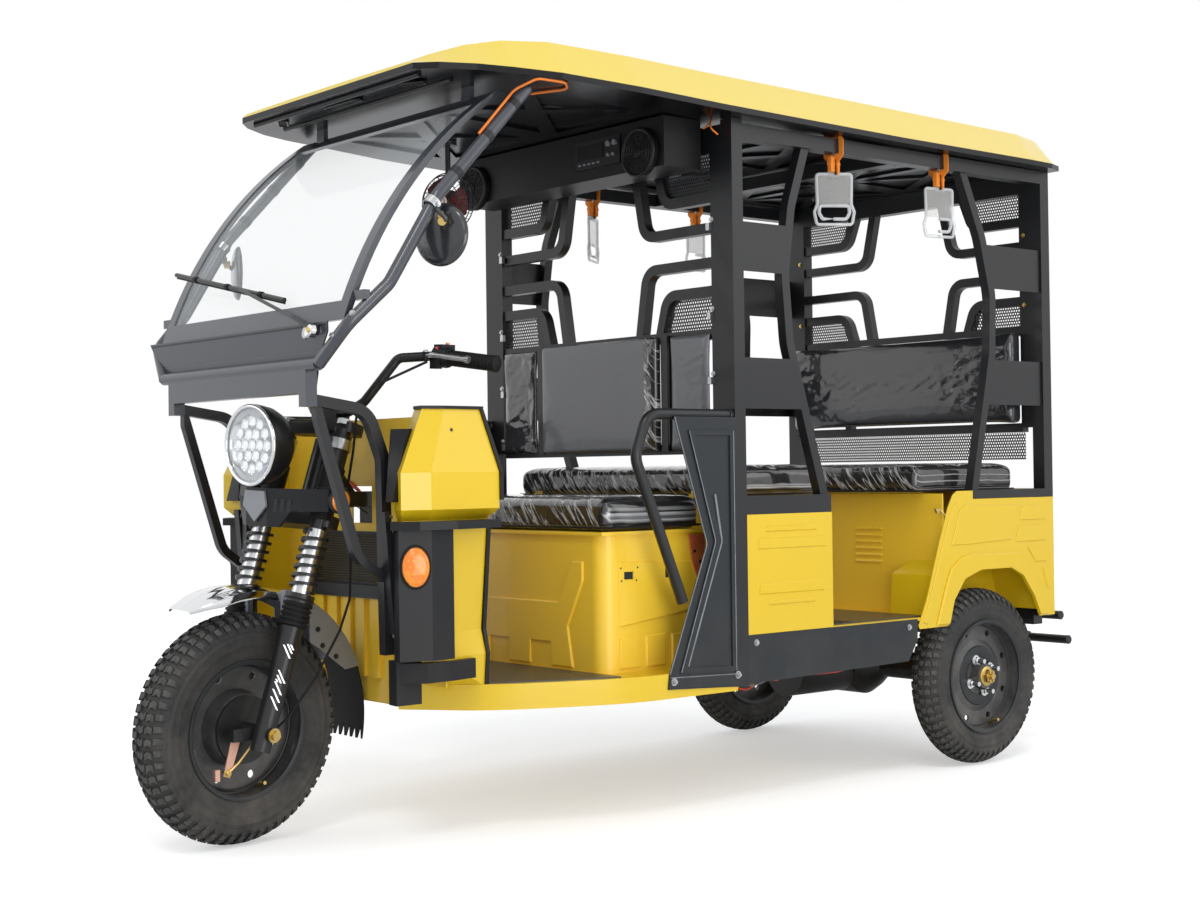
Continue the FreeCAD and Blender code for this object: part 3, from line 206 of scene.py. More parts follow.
class EffectGroup:
    """A shared shader group whose outputs are only values."""

    def __init__(self, name: str, inputs: dict[str, float], outputs: Sequence[str]) -> None:
        """Make the group's interface.

        Args:
            name: The group's name.
            inputs: Names and defaults of its value inputs.
            outputs: Names of its value outputs.
        """
        self.tree = bpy.data.node_groups.new(name, "ShaderNodeTree")
        for label, default in inputs.items():
            socket = self.tree.interface.new_socket(label, in_out="INPUT", socket_type="NodeSocketFloat")
            socket.default_value = default
        for label in outputs:
            self.tree.interface.new_socket(label, in_out="OUTPUT", socket_type="NodeSocketFloat")
        self.nodes = Nodes(self.tree)
        self.given = self.nodes.add("NodeGroupInput")
        self.made = self.nodes.add("NodeGroupOutput")
        self.place = self.nodes.add("ShaderNodeTexCoord").outputs["Object"]

    def give(self, output: str, socket: Socket) -> None:
        """Link a socket to one of the group's outputs."""
        self.tree.links.new(socket, self.made.inputs[output])


class Effects:
    """The effect groups, made once and used by the finishes."""

    def __init__(self) -> None:
        """Build every group."""
        self.groups = {
            Texture.PEEL: self._peel(),
            Texture.GRAIN: self._grain(),
            Texture.FILM: self._film(),
            Texture.HOLES: self._holes(),
            Texture.SCUFF: self._scuff(),
            Texture.CREASE: self._crease(),
        }
        self.dust = self._dust()

    def _noise(self, group: EffectGroup, scale: object, detail: float, rough: float) -> Socket:
        """Return noise over the object's own coordinates."""
        inputs = {"Vector": group.place, "Scale": scale, "Detail": detail, "Roughness": rough}
        return group.nodes.add("ShaderNodeTexNoise", inputs).outputs["Fac"]

    def _peel(self) -> EffectGroup:
        """Slow waves of sprayed paint on sheet metal.

        Returns:
            The group.
        """
        group = EffectGroup("Paint waves", {"Scale": 9.0}, SURFACE)
        slow = self._noise(group, group.given.outputs["Scale"], 1.5, 0.4)
        fine = group.nodes.times(self._noise(group, 160.0, 2.0, 0.5), 0.06)
        group.give("Height", group.nodes.math("ADD", slow, fine))
        group.give("Tone", slow)
        return group

    def _grain(self) -> EffectGroup:
        """Fine grain of moulded plastic and powder coat.

        Returns:
            The group.
        """
        group = EffectGroup("Moulded grain", {"Scale": 900.0}, SURFACE)
        group.give("Height", self._noise(group, group.given.outputs["Scale"], 3.0, 0.6))
        group.give("Tone", self._noise(group, 6.0, 3.0, 0.5))
        return group

    def _film(self) -> EffectGroup:
        """Creases of clear film drawn over padded leatherette.

        Returns:
            The group.
        """
        group = EffectGroup("Film creases", {"Scale": 14.0}, SURFACE)
        nodes = group.nodes
        warp = nodes.add("ShaderNodeTexNoise", {"Vector": group.place, "Scale": 5.0, "Detail": 3.0})
        shift = nodes.scaled(warp.outputs["Color"], (0.22, 0.22, 0.22))
        moved = nodes.add("ShaderNodeVectorMath", {0: group.place, 1: shift}, operation="ADD")
        drawn = nodes.scaled(moved.outputs[0], (1.0, 1.0, 0.55))
        ridges = nodes.ridges(drawn, group.given.outputs["Scale"], 3.0, 0.55)
        group.give("Height", nodes.spread(ridges, 0.25, 0.95))
        # Tone marks the crests, where finishes paint the film's highlights.
        group.give("Tone", nodes.spread(ridges, 0.72, 0.98))
        return group

    def _crease(self) -> EffectGroup:
        """Dense slanting creases where clear film is gathered on a cushion's front.

        Returns:
            The group.
        """
        group = EffectGroup("Gathered film", {"Scale": 1.0}, SURFACE)
        nodes = group.nodes
        split = nodes.add("ShaderNodeSeparateXYZ", {0: group.place})
        slant = nodes.math("ADD", split.outputs[0], nodes.times(split.outputs[2], 0.8))
        across = nodes.times(slant, 58.0)
        along = nodes.times(split.outputs[2], 13.0)
        place = nodes.add("ShaderNodeCombineXYZ", {0: across, 1: along, 2: 0.4}).outputs[0]
        ridge = nodes.spread(nodes.ridges(place, group.given.outputs["Scale"], 4.0, 0.6), 0.3, 0.7)
        slow = nodes.add("ShaderNodeTexNoise", {"Vector": place, "Scale": 0.8, "Detail": 2.5})
        off = nodes.math("ABSOLUTE", nodes.math("SUBTRACT", slow.outputs["Fac"], 0.5))
        both = nodes.math("MAXIMUM", ridge, nodes.spread(off, 0.0, 0.045, 0.85, 0.0))
        # The crests that carry the bumps also carry the pale tone, which paints the creases' highlights.
        group.give("Height", both)
        group.give("Tone", both)
        return group

    def _holes(self) -> EffectGroup:
        """A staggered pattern of small round holes in the X, Z plane.

        Returns:
            The group.
        """
        group = EffectGroup("Perforations", {"Scale": 120.0}, SURFACE)
        nodes = group.nodes
        split = nodes.add("ShaderNodeSeparateXYZ", {0: group.place})
        across = nodes.times(split.outputs[0], group.given.outputs["Scale"])
        up = nodes.times(split.outputs[2], group.given.outputs["Scale"])
        shift = nodes.times(nodes.math("MODULO", nodes.math("FLOOR", up), 2.0), 0.5)
        cell_x = nodes.math("SUBTRACT", nodes.math("FRACT", nodes.math("ADD", across, shift)), 0.5)
        cell_z = nodes.math("SUBTRACT", nodes.math("FRACT", up), 0.5)
        square_x, square_z = (nodes.times(cell, cell) for cell in (cell_x, cell_z))
        reach = nodes.math("SQRT", nodes.math("ADD", square_x, square_z))
        solid = nodes.math("GREATER_THAN", reach, 0.36)
        group.give("Height", solid)
        group.give("Tone", solid)
        return group

    def _scuff(self) -> EffectGroup:
        """Streaks and dull patches on bare or worn metal.

        Returns:
            The group.
        """
        group = EffectGroup("Scuffs", {"Scale": 30.0}, SURFACE)
        fine = self._noise(group, group.given.outputs["Scale"], 5.0, 0.65)
        group.give("Height", fine)
        group.give("Tone", group.nodes.spread(fine, 0.42, 0.62))
        return group

    def _dust(self) -> EffectGroup:
        """A thin veil of dust that thickens towards the ground.

        Returns:
            The group.
        """
        group = EffectGroup("Road dust", {"Amount": 0.2}, ("Mask",))
        nodes = group.nodes
        split = nodes.add("ShaderNodeSeparateXYZ", {0: group.place})
        low = nodes.spread(split.outputs[2], 0.0, 0.55, 1.0, 0.0)
        patch = nodes.spread(self._noise(group, 11.0, 5.0, 0.6), 0.35, 0.75)
        mask = nodes.times(nodes.times(low, patch), group.given.outputs["Amount"])
        group.give("Mask", mask)
        return group


@dataclass(frozen=True)
class Finish:
    """One surface finish and how to make it."""

    name: str
    colour: tuple[float, float, float]
    roughness: float = 0.4
    metallic: float = 0.0
    coat: float = 0.0
    texture: Texture = Texture.PLAIN
    scale: float = 1.0
    bump: float = 0.0
    tone: float = 0.0
    tint: tuple[float, float, float] = (0.5, 0.5, 0.5)
    dust: float = 0.0
    alpha: float = 1.0
    glow: float = 0.0
    shine: float = 0.5
    coat_roughness: float = 0.06

    def material(self, effects: Effects) -> bpy.types.Material:
        """Return this finish's material, made on first use.

        Args:
            effects: The shared effect groups.

        Returns:
            A material with one principled shader.
        """
        known = bpy.data.materials.get(self.name)
        if known:
            return known
        made = bpy.data.materials.new(self.name)
        made.use_nodes = True
        nodes = Nodes(made.node_tree)
        shader = made.node_tree.nodes["Principled BSDF"]
        values = {"Base Color": (*self.colour, 1), "Roughness": self.roughness, "Metallic": self.metallic,
                  "Specular IOR Level": self.shine, "Coat Weight": self.coat,
                  "Coat Roughness": self.coat_roughness, "Alpha": self.alpha}
        if self.glow:
            values |= {"Emission Color": (*self.colour, 1), "Emission Strength": self.glow}
        for name, value in values.items():
            shader.inputs[name].default_value = value
        if self.texture is not Texture.PLAIN:
            self._texture(nodes, shader, effects)
        if self.dust:
            base = shader.inputs["Base Color"]
            group = nodes.add("ShaderNodeGroup", {"Amount": self.dust}, node_tree=effects.dust.tree)
            under = base.links[0].from_socket if base.links else (*self.colour, 1)
            made.node_tree.links.new(nodes.blend(group.outputs["Mask"], under, DUST), base)
        made.diffuse_color = (*self.colour, 1)
        return made

    def _texture(self, nodes: Nodes, shader: bpy.types.Node, effects: Effects) -> None:
        """Feed the shader from the finish's effect group.

        Args:
            nodes: The material's nodes.
            shader: Its principled shader.
            effects: The shared effect groups.
        """
        group = nodes.add("ShaderNodeGroup", {"Scale": self.scale},
                          node_tree=effects.groups[self.texture].tree)
        if self.texture is Texture.HOLES:
            nodes.tree.links.new(group.outputs["Tone"], shader.inputs["Alpha"])
            return
        if self.bump:
            inputs = {"Strength": 1.0, "Distance": self.bump * MM, "Height": group.outputs["Height"]}
            bump = nodes.add("ShaderNodeBump", inputs)
            nodes.tree.links.new(bump.outputs["Normal"], shader.inputs["Normal"])
        if self.tone:
            amount = nodes.times(group.outputs["Tone"], self.tone)
            tinted = nodes.blend(amount, (*self.colour, 1), (*self.tint, 1))
            nodes.tree.links.new(tinted, shader.inputs["Base Color"])


YELLOW = Finish("Yellow paint", (0.74, 0.5, 0.008), 0.3, coat=0.45, texture=Texture.PEEL, scale=7.0,
                bump=0.5, dust=0.12, shine=0.4)
# The roof's yellow is paler than the body's: the pale base is a painted reflection of the sky on the top, and
# the full coat is its real gloss.
SKYLIT_ROOF_YELLOW = Finish("Roof yellow, paled by painted sky reflection", (0.8, 0.6, 0.06), 0.26, coat=1.0, texture=Texture.PEEL, scale=5.0,
                     bump=0.6)
# A brighter copy of the yellow paint for the cowl, the driver box and the benches: the extra brightness is
# painted light, standing in for light that reaches these shaded parts.
BRIGHTENED_YELLOW = Finish("Inside yellow brightened as painted light", (0.9, 0.58, 0.035), 0.4, coat=0.2, texture=Texture.PEEL,
                     scale=7.0, bump=0.5, dust=0.25)
BLACK_PAINT = Finish("Black tube paint", (0.009, 0.0095, 0.011), 0.38, coat=0.12, texture=Texture.PEEL,
                     scale=14.0, bump=0.25, dust=0.08, shine=0.4)
SCREEN_TUBE = Finish("Grey-black tube paint", (0.045, 0.05, 0.062), 0.3, coat=0.4, texture=Texture.PEEL,
                     scale=14.0, bump=0.25, dust=0.05)
SATIN_BLACK = Finish("Black sheet paint", (0.017, 0.0205, 0.0235), 0.42, texture=Texture.PEEL, scale=9.0,
                     bump=0.4, dust=0.1, shine=0.35)
# Light strips along the fold edges of the dark side panels: painted highlights where light catches the edges,
# with scuffs in their tone.
EDGE_HIGHLIGHT = Finish("Painted edge highlight", (0.2, 0.215, 0.235), 0.35, texture=Texture.SCUFF, scale=25.0, bump=0.1,
                   tone=0.5, tint=(0.06, 0.065, 0.075))
PLASTIC = Finish("Black plastic", (0.008, 0.0085, 0.01), 0.42, texture=Texture.GRAIN, scale=900.0,
                 bump=0.06, dust=0.08, shine=0.32)
ROOF_BLACK = Finish("Roof tray plastic", (0.004, 0.004, 0.005), 0.24, texture=Texture.PEEL, scale=5.0,
                    bump=1.2, shine=0.3)
DARK_PLASTIC = Finish("Dark cabin plastic", (0.005, 0.005, 0.006), 0.45, texture=Texture.GRAIN, scale=700.0,
                      bump=0.06, shine=0.25)
GREY_PLATE = Finish("Grey plate", (0.23, 0.24, 0.26), 0.38, metallic=0.35, texture=Texture.PEEL, scale=12.0,
                    bump=0.3)
RUBBER = Finish("Tyre rubber", (0.014, 0.014, 0.015), 0.72, texture=Texture.SCUFF, scale=60.0, bump=0.25,
                tone=0.35, tint=(0.045, 0.043, 0.04), dust=0.25)
SOFT_RUBBER = Finish("Soft rubber", (0.007, 0.007, 0.007), 0.6, texture=Texture.GRAIN, scale=400.0, bump=0.1,
                     shine=0.25)
CHROME = Finish("Chrome", (0.78, 0.79, 0.8), 0.08, metallic=1.0)
STEEL = Finish("Plated steel", (0.52, 0.53, 0.54), 0.28, metallic=1.0, texture=Texture.SCUFF, scale=40.0,
               bump=0.05)
GOLD_NUT = Finish("Passivated nut", (0.62, 0.45, 0.16), 0.3, metallic=1.0)
AMBER = Finish("Amber lens", (0.85, 0.2, 0.008), 0.14, coat=0.5, texture=Texture.SCUFF, scale=45.0,
               bump=1.6, tone=0.4, tint=(0.95, 0.42, 0.03))
RED = Finish("Red lens", (0.5, 0.01, 0.01), 0.12, coat=1.0, texture=Texture.SCUFF, scale=90.0, bump=0.8)
RED_PAINT = Finish("Red strip", (0.62, 0.05, 0.02), 0.4)
# The dark base is the leatherette's own colour, and the pale tone on the film's crests is a painted
# highlight.
LEATHER = Finish("Film over black leatherette, painted highlights", (0.026, 0.027, 0.031), 0.22, coat=1.0, texture=Texture.FILM,
                 scale=13.0, bump=5.0, tone=0.5, tint=(0.55, 0.57, 0.6))
PERFORATED = Finish("Perforated sheet", (0.03, 0.031, 0.034), 0.45, texture=Texture.HOLES, scale=118.0)
GLASS = Finish("Windscreen glass", (0.8, 0.85, 0.86), 0.02, alpha=0.16)
LENS = Finish("Lamp lens", (0.85, 0.88, 0.9), 0.03, alpha=0.22)
CLEAR = Finish("Clear handle", (0.6, 0.6, 0.58), 0.1, alpha=0.34)
WEBBING = Finish("Orange web", (0.9, 0.27, 0.025), 0.75, texture=Texture.GRAIN, scale=700.0, bump=0.2)
WIRE = Finish("Orange wire", (0.8, 0.2, 0.02), 0.5)
TREAD = Finish("Dusty tread", (0.05, 0.05, 0.048), 0.85, texture=Texture.SCUFF, scale=80.0, bump=0.3,
               tone=0.5, tint=(0.12, 0.118, 0.11))
# The glow is a painted highlight that makes the headlamp's cells bright.
CELL = Finish("Lamp cells, painted glow", (0.93, 0.94, 0.96), 0.12, metallic=0.2, coat=1.0, glow=0.35)
PINK_ZINC = Finish("Copper-washed lever", (0.74, 0.4, 0.29), 0.38, metallic=0.35, texture=Texture.SCUFF,
                   scale=60.0, bump=0.08, tone=0.3, tint=(0.5, 0.4, 0.34))
WHEEL_GREY = Finish("Dusty wheel paint", (0.03, 0.031, 0.034), 0.4, coat=0.2, texture=Texture.SCUFF,
                    scale=14.0, bump=0.1, tone=0.4, tint=(0.11, 0.105, 0.1), dust=0.3)
MESH = Finish("Fine wire mesh", (0.03, 0.028, 0.02), 0.5, metallic=0.3, texture=Texture.HOLES, scale=170.0)
# Painted shade: a dark, dull yellow for the plate behind the grille, standing in for the shaded inside parts
# seen through the mesh.
SHADED_YELLOW = Finish("Painted shade yellow plate", (0.26, 0.19, 0.045), 0.6, texture=Texture.SCUFF, scale=20.0,
                       bump=0.1, tone=0.5, tint=(0.1, 0.075, 0.03))
# The dark base is the mat's own colour, and the pale tone on the film's crests is a painted reflection.
MAT_FILM = Finish("Film over the mat, painted reflections", (0.045, 0.043, 0.037), 0.5, coat=0.25, texture=Texture.FILM, scale=8.0,
                  bump=4.0, tone=0.6, tint=(0.42, 0.42, 0.4))
YELLOW_WIRE = Finish("Yellow wire", (0.85, 0.6, 0.05), 0.5)
TEAL_WIRE = Finish("Teal wire", (0.05, 0.35, 0.38), 0.5)
# The weak glow is a painted highlight that brightens the lens cells.
AMBER_CELL = Finish("Amber lens cells, painted glow", (0.95, 0.36, 0.02), 0.12, coat=0.6, glow=0.05)
GLOSS_PLASTIC = Finish("Gloss black plastic", (0.022, 0.024, 0.028), 0.22, coat=0.5)
RED_OXIDE = Finish("Red primer", (0.5, 0.11, 0.04), 0.55, texture=Texture.SCUFF, scale=40.0, bump=0.2,
                   tone=0.4, tint=(0.7, 0.25, 0.05))
# The pale tone on the gathered creases is a painted highlight, and the dark base is the leatherette under the
# film.
FILM = Finish("Bunched clear film, painted highlights", (0.02, 0.02, 0.02), 0.2, coat=1.0, texture=Texture.CREASE, scale=1.0,
              bump=3.0, tone=0.95, tint=(0.68, 0.69, 0.7))
PAD_GREY = Finish("Grey flat pad", (0.115, 0.12, 0.13), 0.3, coat=0.4, texture=Texture.FILM, scale=6.0,
                  bump=1.5, tone=0.06, tint=(0.3, 0.31, 0.34))
CLEAR_RIM = Finish("Clear plastic rim", (0.78, 0.79, 0.8), 0.06, coat=1.0, alpha=0.55)
BLADE_RED = Finish("Dark red blade", (0.16, 0.006, 0.008), 0.35, coat=0.4)
HUB_WHITE = Finish("Pale hub cap", (0.7, 0.68, 0.66), 0.4)


# Mesh drafts.


def at(x: float, y: float, z: float) -> Vector:
    """Return a point of the vehicle's frame in the stored frame, in metres."""
    return Vector((x, y - ORIGIN_Y, z)) * MM


@dataclass
class Draft:
    """A mesh put together from simple shapes, in the vehicle's millimetres.

    Attributes:
        points: The vertices so far.
        faces: The faces so far.
        finish_of: One finish number per face.
        current: The finish number that new faces get.
    """

    points: list[Vector] = field(default_factory=list)
    faces: list[tuple[int, ...]] = field(default_factory=list)
    finish_of: list[int] = field(default_factory=list)
    current: int = 0

    def add(self, points: Iterable[Place], faces: Iterable[Sequence[int]]) -> None:
        """Add raw points and faces.

        Args:
            points: The new points.
            faces: Their faces, counted from the first of them.
        """
        start = len(self.points)
        self.points += [Vector(p) for p in points]
        for face in faces:
            self.faces.append(tuple(start + i for i in face))
            self.finish_of.append(self.current)

    def block(self, x: Flat, y: Flat, z: Flat) -> None:
        """Add a box between low and high values."""
        corners = [(a, b, c) for a in x for b in y for c in z]
        faces = ((0, 1, 3, 2), (4, 6, 7, 5), (0, 4, 5, 1), (2, 3, 7, 6), (0, 2, 6, 4), (1, 5, 7, 3))
        self.add(corners, faces)

    def prism(self, outline: Sequence[Point], depth: Point) -> None:
        """Add a polygon pushed along a vector.

        Args:
            outline: The polygon's corners.
            depth: The vector.
        """
        near = [Vector(p) for p in outline]
        far = [p + Vector(depth) for p in near]
        count = len(near)
        sides = [(i, (i + 1) % count, count + (i + 1) % count, count + i) for i in range(count)]
        self.add(near + far, [tuple(range(count))[::-1], tuple(range(count, 2 * count)), *sides])

    def sweep(self, path: Sequence[Place], section: Sequence[Flat], closed: bool = False) -> None:
        """Add a section carried along a path without twisting.

        Args:
            path: The points of the path.
            section: The section's points, as (across, up) pairs.
            closed: Whether the path's last point joins its first.
        """
        line = [Vector(p) for p in path]
        count = len(line)
        normal = None
        points = []
        for i, point in enumerate(line):
            ahead = line[(i + 1) % count] if closed or i + 1 < count else point
            behind = line[i - 1] if closed or i else point
            heading = (ahead - behind).normalized()
            if normal is None:
                guide = UP if abs(heading.z) < STEEP else LEFT
                normal = heading.cross(guide).normalized()
            normal = (normal - heading * normal.dot(heading)).normalized()
            other = heading.cross(normal)
            points += [point + normal * u + other * v for u, v in section]
        self.add(points, skin(count, len(section), closed))

    def tube(self, path: Sequence[Place], radius: float, sides: int = 12,
             closed: bool = False) -> None:
        """Add a round tube along a path."""
        section = [(radius * cos(a), radius * sin(a)) for a in turns(sides)]
        self.sweep(path, section, closed)

    def lathe(self, profile: Sequence[Flat], centre: Place, axis: Place,
              sides: int = 48, closed: bool = False) -> None:
        """Add a profile turned about an axis.

        Args:
            profile: Its points, as (along, radius) pairs.
            centre: Where along is zero.
            axis: The direction of along.
            sides: Number of steps round the axis.
            closed: Whether the profile's last point joins its first.
        """
        axis = Vector(axis).normalized()
        across = axis.orthogonal().normalized()
        other = axis.cross(across)
        points = []
        for along, radius in profile:
            for turn in turns(sides):
                side = across * cos(turn) + other * sin(turn)
                points.append(Vector(centre) + axis * along + side * radius)
        self.add(points, skin(len(profile), sides, closed))

    def disc(self, centre: Place, axis: Place, radius: float, depth: float,
             sides: int = 24) -> None:
        """Add a flat cylinder that rises along the axis from its centre."""
        self.lathe([(0, radius), (depth, radius)], centre, axis, sides)

    def bolt(self, centre: Place, axis: Place, size: float = 7.0) -> None:
        """Add a hexagon bolt head on its washer.

        Args:
            centre: The foot of the washer.
            axis: The way that the head points.
            size: Half the head's width across its corners, about.
        """
        washer = size * 0.22
        self.disc(centre, axis, size * 1.15, washer, 20)
        head = Vector(centre) + Vector(axis).normalized() * washer
        self.disc(head, axis, size * 0.82, size * 0.62, 6)

    def ring(self, centre: Place, axis: Place, radius: float, thick: float,
             sides: int = 48, cross: int = 10) -> None:
        """Add a torus."""
        profile = [(thick * sin(a), radius + thick * cos(a)) for a in turns(cross)]
        self.lathe(profile, centre, axis, sides, closed=True)

    def join(self, other: "Draft") -> None:
        """Add another draft's faces with their finish numbers.

        Args:
            other: The other draft.
        """
        start = len(self.points)
        self.points += other.points
        self.faces += [tuple(start + i for i in face) for face in other.faces]
        self.finish_of += other.finish_of

    def mirror(self) -> None:
        """Add the mirror image of everything so far on the other side."""
        points = [Vector((-p.x, p.y, p.z)) for p in self.points]
        self.join(Draft(points, [face[::-1] for face in self.faces], list(self.finish_of)))

    def move(self, matrix: Matrix) -> None:
        """Move everything so far."""
        self.points = [matrix @ p for p in self.points]

    def piece(self, name: str, body: Body, *finishes: bpy.types.Material, smooth: float = 35.0,
              bevel: float = 0.0) -> bpy.types.Object:
        """Turn the draft into a piece that rides on a body.

        Args:
            name: The piece's name.
            body: The body that it rides on.
            finishes: One material per finish number.
            smooth: Largest angle, in degrees, that is shaded smooth.
            bevel: Width of softened edges in millimetres.

        Returns:
            The new object.
        """
        mesh = bpy.data.meshes.new(name)
        mesh.from_pydata([at(*p) for p in self.points], [], self.faces)
        for finish in finishes:
            mesh.materials.append(finish)
        for polygon, mark in zip(mesh.polygons, self.finish_of):
            polygon.material_index = mark
        work = bmesh.new()
        work.from_mesh(mesh)
        bmesh.ops.recalc_face_normals(work, faces=work.faces)
        work.to_mesh(mesh)
        work.free()
        shade(mesh, smooth)
        made = bpy.data.objects.new(name, mesh)
        bpy.context.scene.collection.objects.link(made)
        if bevel:
            soften(made, bevel)
        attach(made, body.value)
        return made


def skin(rows: int, size: int, closed: bool = False) -> list[tuple[int, ...]]:
    """Return the faces between rows of points, each row a loop.

    Args:
        rows: Number of rows.
        size: Number of points in a row.
        closed: Whether the last row joins the first.

    Returns:
        The side faces, then a cap at each end unless closed.
    """
    faces = []
    for row in range(rows if closed else rows - 1):
        low, high = row * size, ((row + 1) % rows) * size
        faces += [(low + k, low + (k + 1) % size, high + (k + 1) % size, high + k) for k in range(size)]
    if not closed:
        faces += [tuple(range(size))[::-1], tuple(range((rows - 1) * size, rows * size))]
    return faces


def beside(side: int, near: float, far: float) -> Flat:
    """Return the low and high X of a block on the left, 1, or the right, -1."""
    return tuple(sorted((side * near, side * far)))


def spoke(turn: float) -> Vector:
    """Return the direction of a spoke of a wheel that turns about X."""
    return Vector((0, cos(turn), sin(turn)))


def turns(count: int) -> list[float]:
    """Return evenly spaced angles round a circle."""
    return [2 * pi * i / count for i in range(count)]


def shade(mesh: bpy.types.Mesh, angle: float) -> None:
    """Shade a mesh smooth up to an angle between faces."""
    mesh.polygons.foreach_set("use_smooth", [True] * len(mesh.polygons))
    mesh.set_sharp_from_angle(angle=radians(angle))


def soften(thing: bpy.types.Object, width: float, segments: int = 2) -> None:
    """Give a piece softened edges.

    Args:
        thing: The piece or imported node.
        width: Width in millimetres.
        segments: Steps across an edge.
    """
    bevel = thing.modifiers.new("Edges", "BEVEL")
    bevel.width = width * MM
    bevel.segments = segments
    bevel.limit_method = "ANGLE"
    bevel.angle_limit = radians(40)
    bevel.harden_normals = True


def rounded(points: Sequence[Place], bend: float, steps: int = 6) -> list[Vector]:
    """Return a path through points with every corner rounded.

    Args:
        points: The corners, with both ends.
        bend: The bends' radius.
        steps: Steps round a bend.

    Returns:
        The path's points.
    """
    line = [Vector(p) for p in points]
    made = [line[0]]
    for before, corner, after in zip(line, line[1:], line[2:]):
        back = (before - corner).normalized()
        ahead = (after - corner).normalized()
        half = back.angle(ahead) / 2
        leg = min(bend / tan(half), (before - corner).length * 0.49, (after - corner).length * 0.49)
        first, last = corner + back * leg, corner + ahead * leg
        for i in range(steps + 1):
            t = i / steps
            made.append(first * (1 - t) ** 2 + corner * 2 * t * (1 - t) + last * t ** 2)
    made.append(line[-1])
    return made


# The vehicle.


@dataclass
class Vehicle:
    """What every sub-assembly needs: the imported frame, the effects and the materials."""

    frame: dict
    effects: Effects

    def paint(self, *finishes: Finish) -> list[bpy.types.Material]:
        """Return the finishes' materials."""
        return [finish.material(self.effects) for finish in finishes]

    def dress(self, finish: Finish, *nodes: str, smooth: float = 35.0, bevel: float = 0.0) -> None:
        """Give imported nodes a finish.

        Args:
            finish: The finish to use.
            nodes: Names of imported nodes.
            smooth: Largest angle, in degrees, that is shaded smooth.
            bevel: Width of softened edges in millimetres.
        """
        for name in nodes:
            node = self.frame["nodes"][name]
            node.data.materials.clear()
            node.data.materials.append(finish.material(self.effects))
            shade(node.data, smooth)
            if bevel:
                soften(node, bevel)


@dataclass(frozen=True)
class Shot:
    """The camera that took the photograph."""

    place: Point = (3585.0, -1938.0, 818.0)
    azimuth: float = 50.0
    elevation: float = -0.68
    roll: float = -0.745
    lens: float = 53.67
    sensor: float = 36.0
    reach: float = 60.0

    def build(self) -> bpy.types.Object:
        """Make the camera.

        Returns:
            The camera.
        """
        azimuth, elevation, roll = (radians(a) for a in (self.azimuth, self.elevation, self.roll))
        forward = Vector((-sin(azimuth) * cos(elevation), cos(azimuth) * cos(elevation),
                          -sin(elevation)))
        level = forward.cross(UP).normalized()
        up = level.cross(forward)
        right = level * cos(roll) + up * sin(roll)
        above = -level * sin(roll) + up * cos(roll)
        data = bpy.data.cameras.new("Shot")
        data.lens = self.lens
        data.sensor_width = self.sensor
        data.clip_end = self.reach
        camera = bpy.data.objects.new("Shot", data)
        turn = Matrix((right, above, -forward)).transposed().to_4x4()
        camera.matrix_world = Matrix.Translation(at(*self.place)) @ turn
        bpy.context.scene.collection.objects.link(camera)
        bpy.context.scene.camera = camera
        return camera


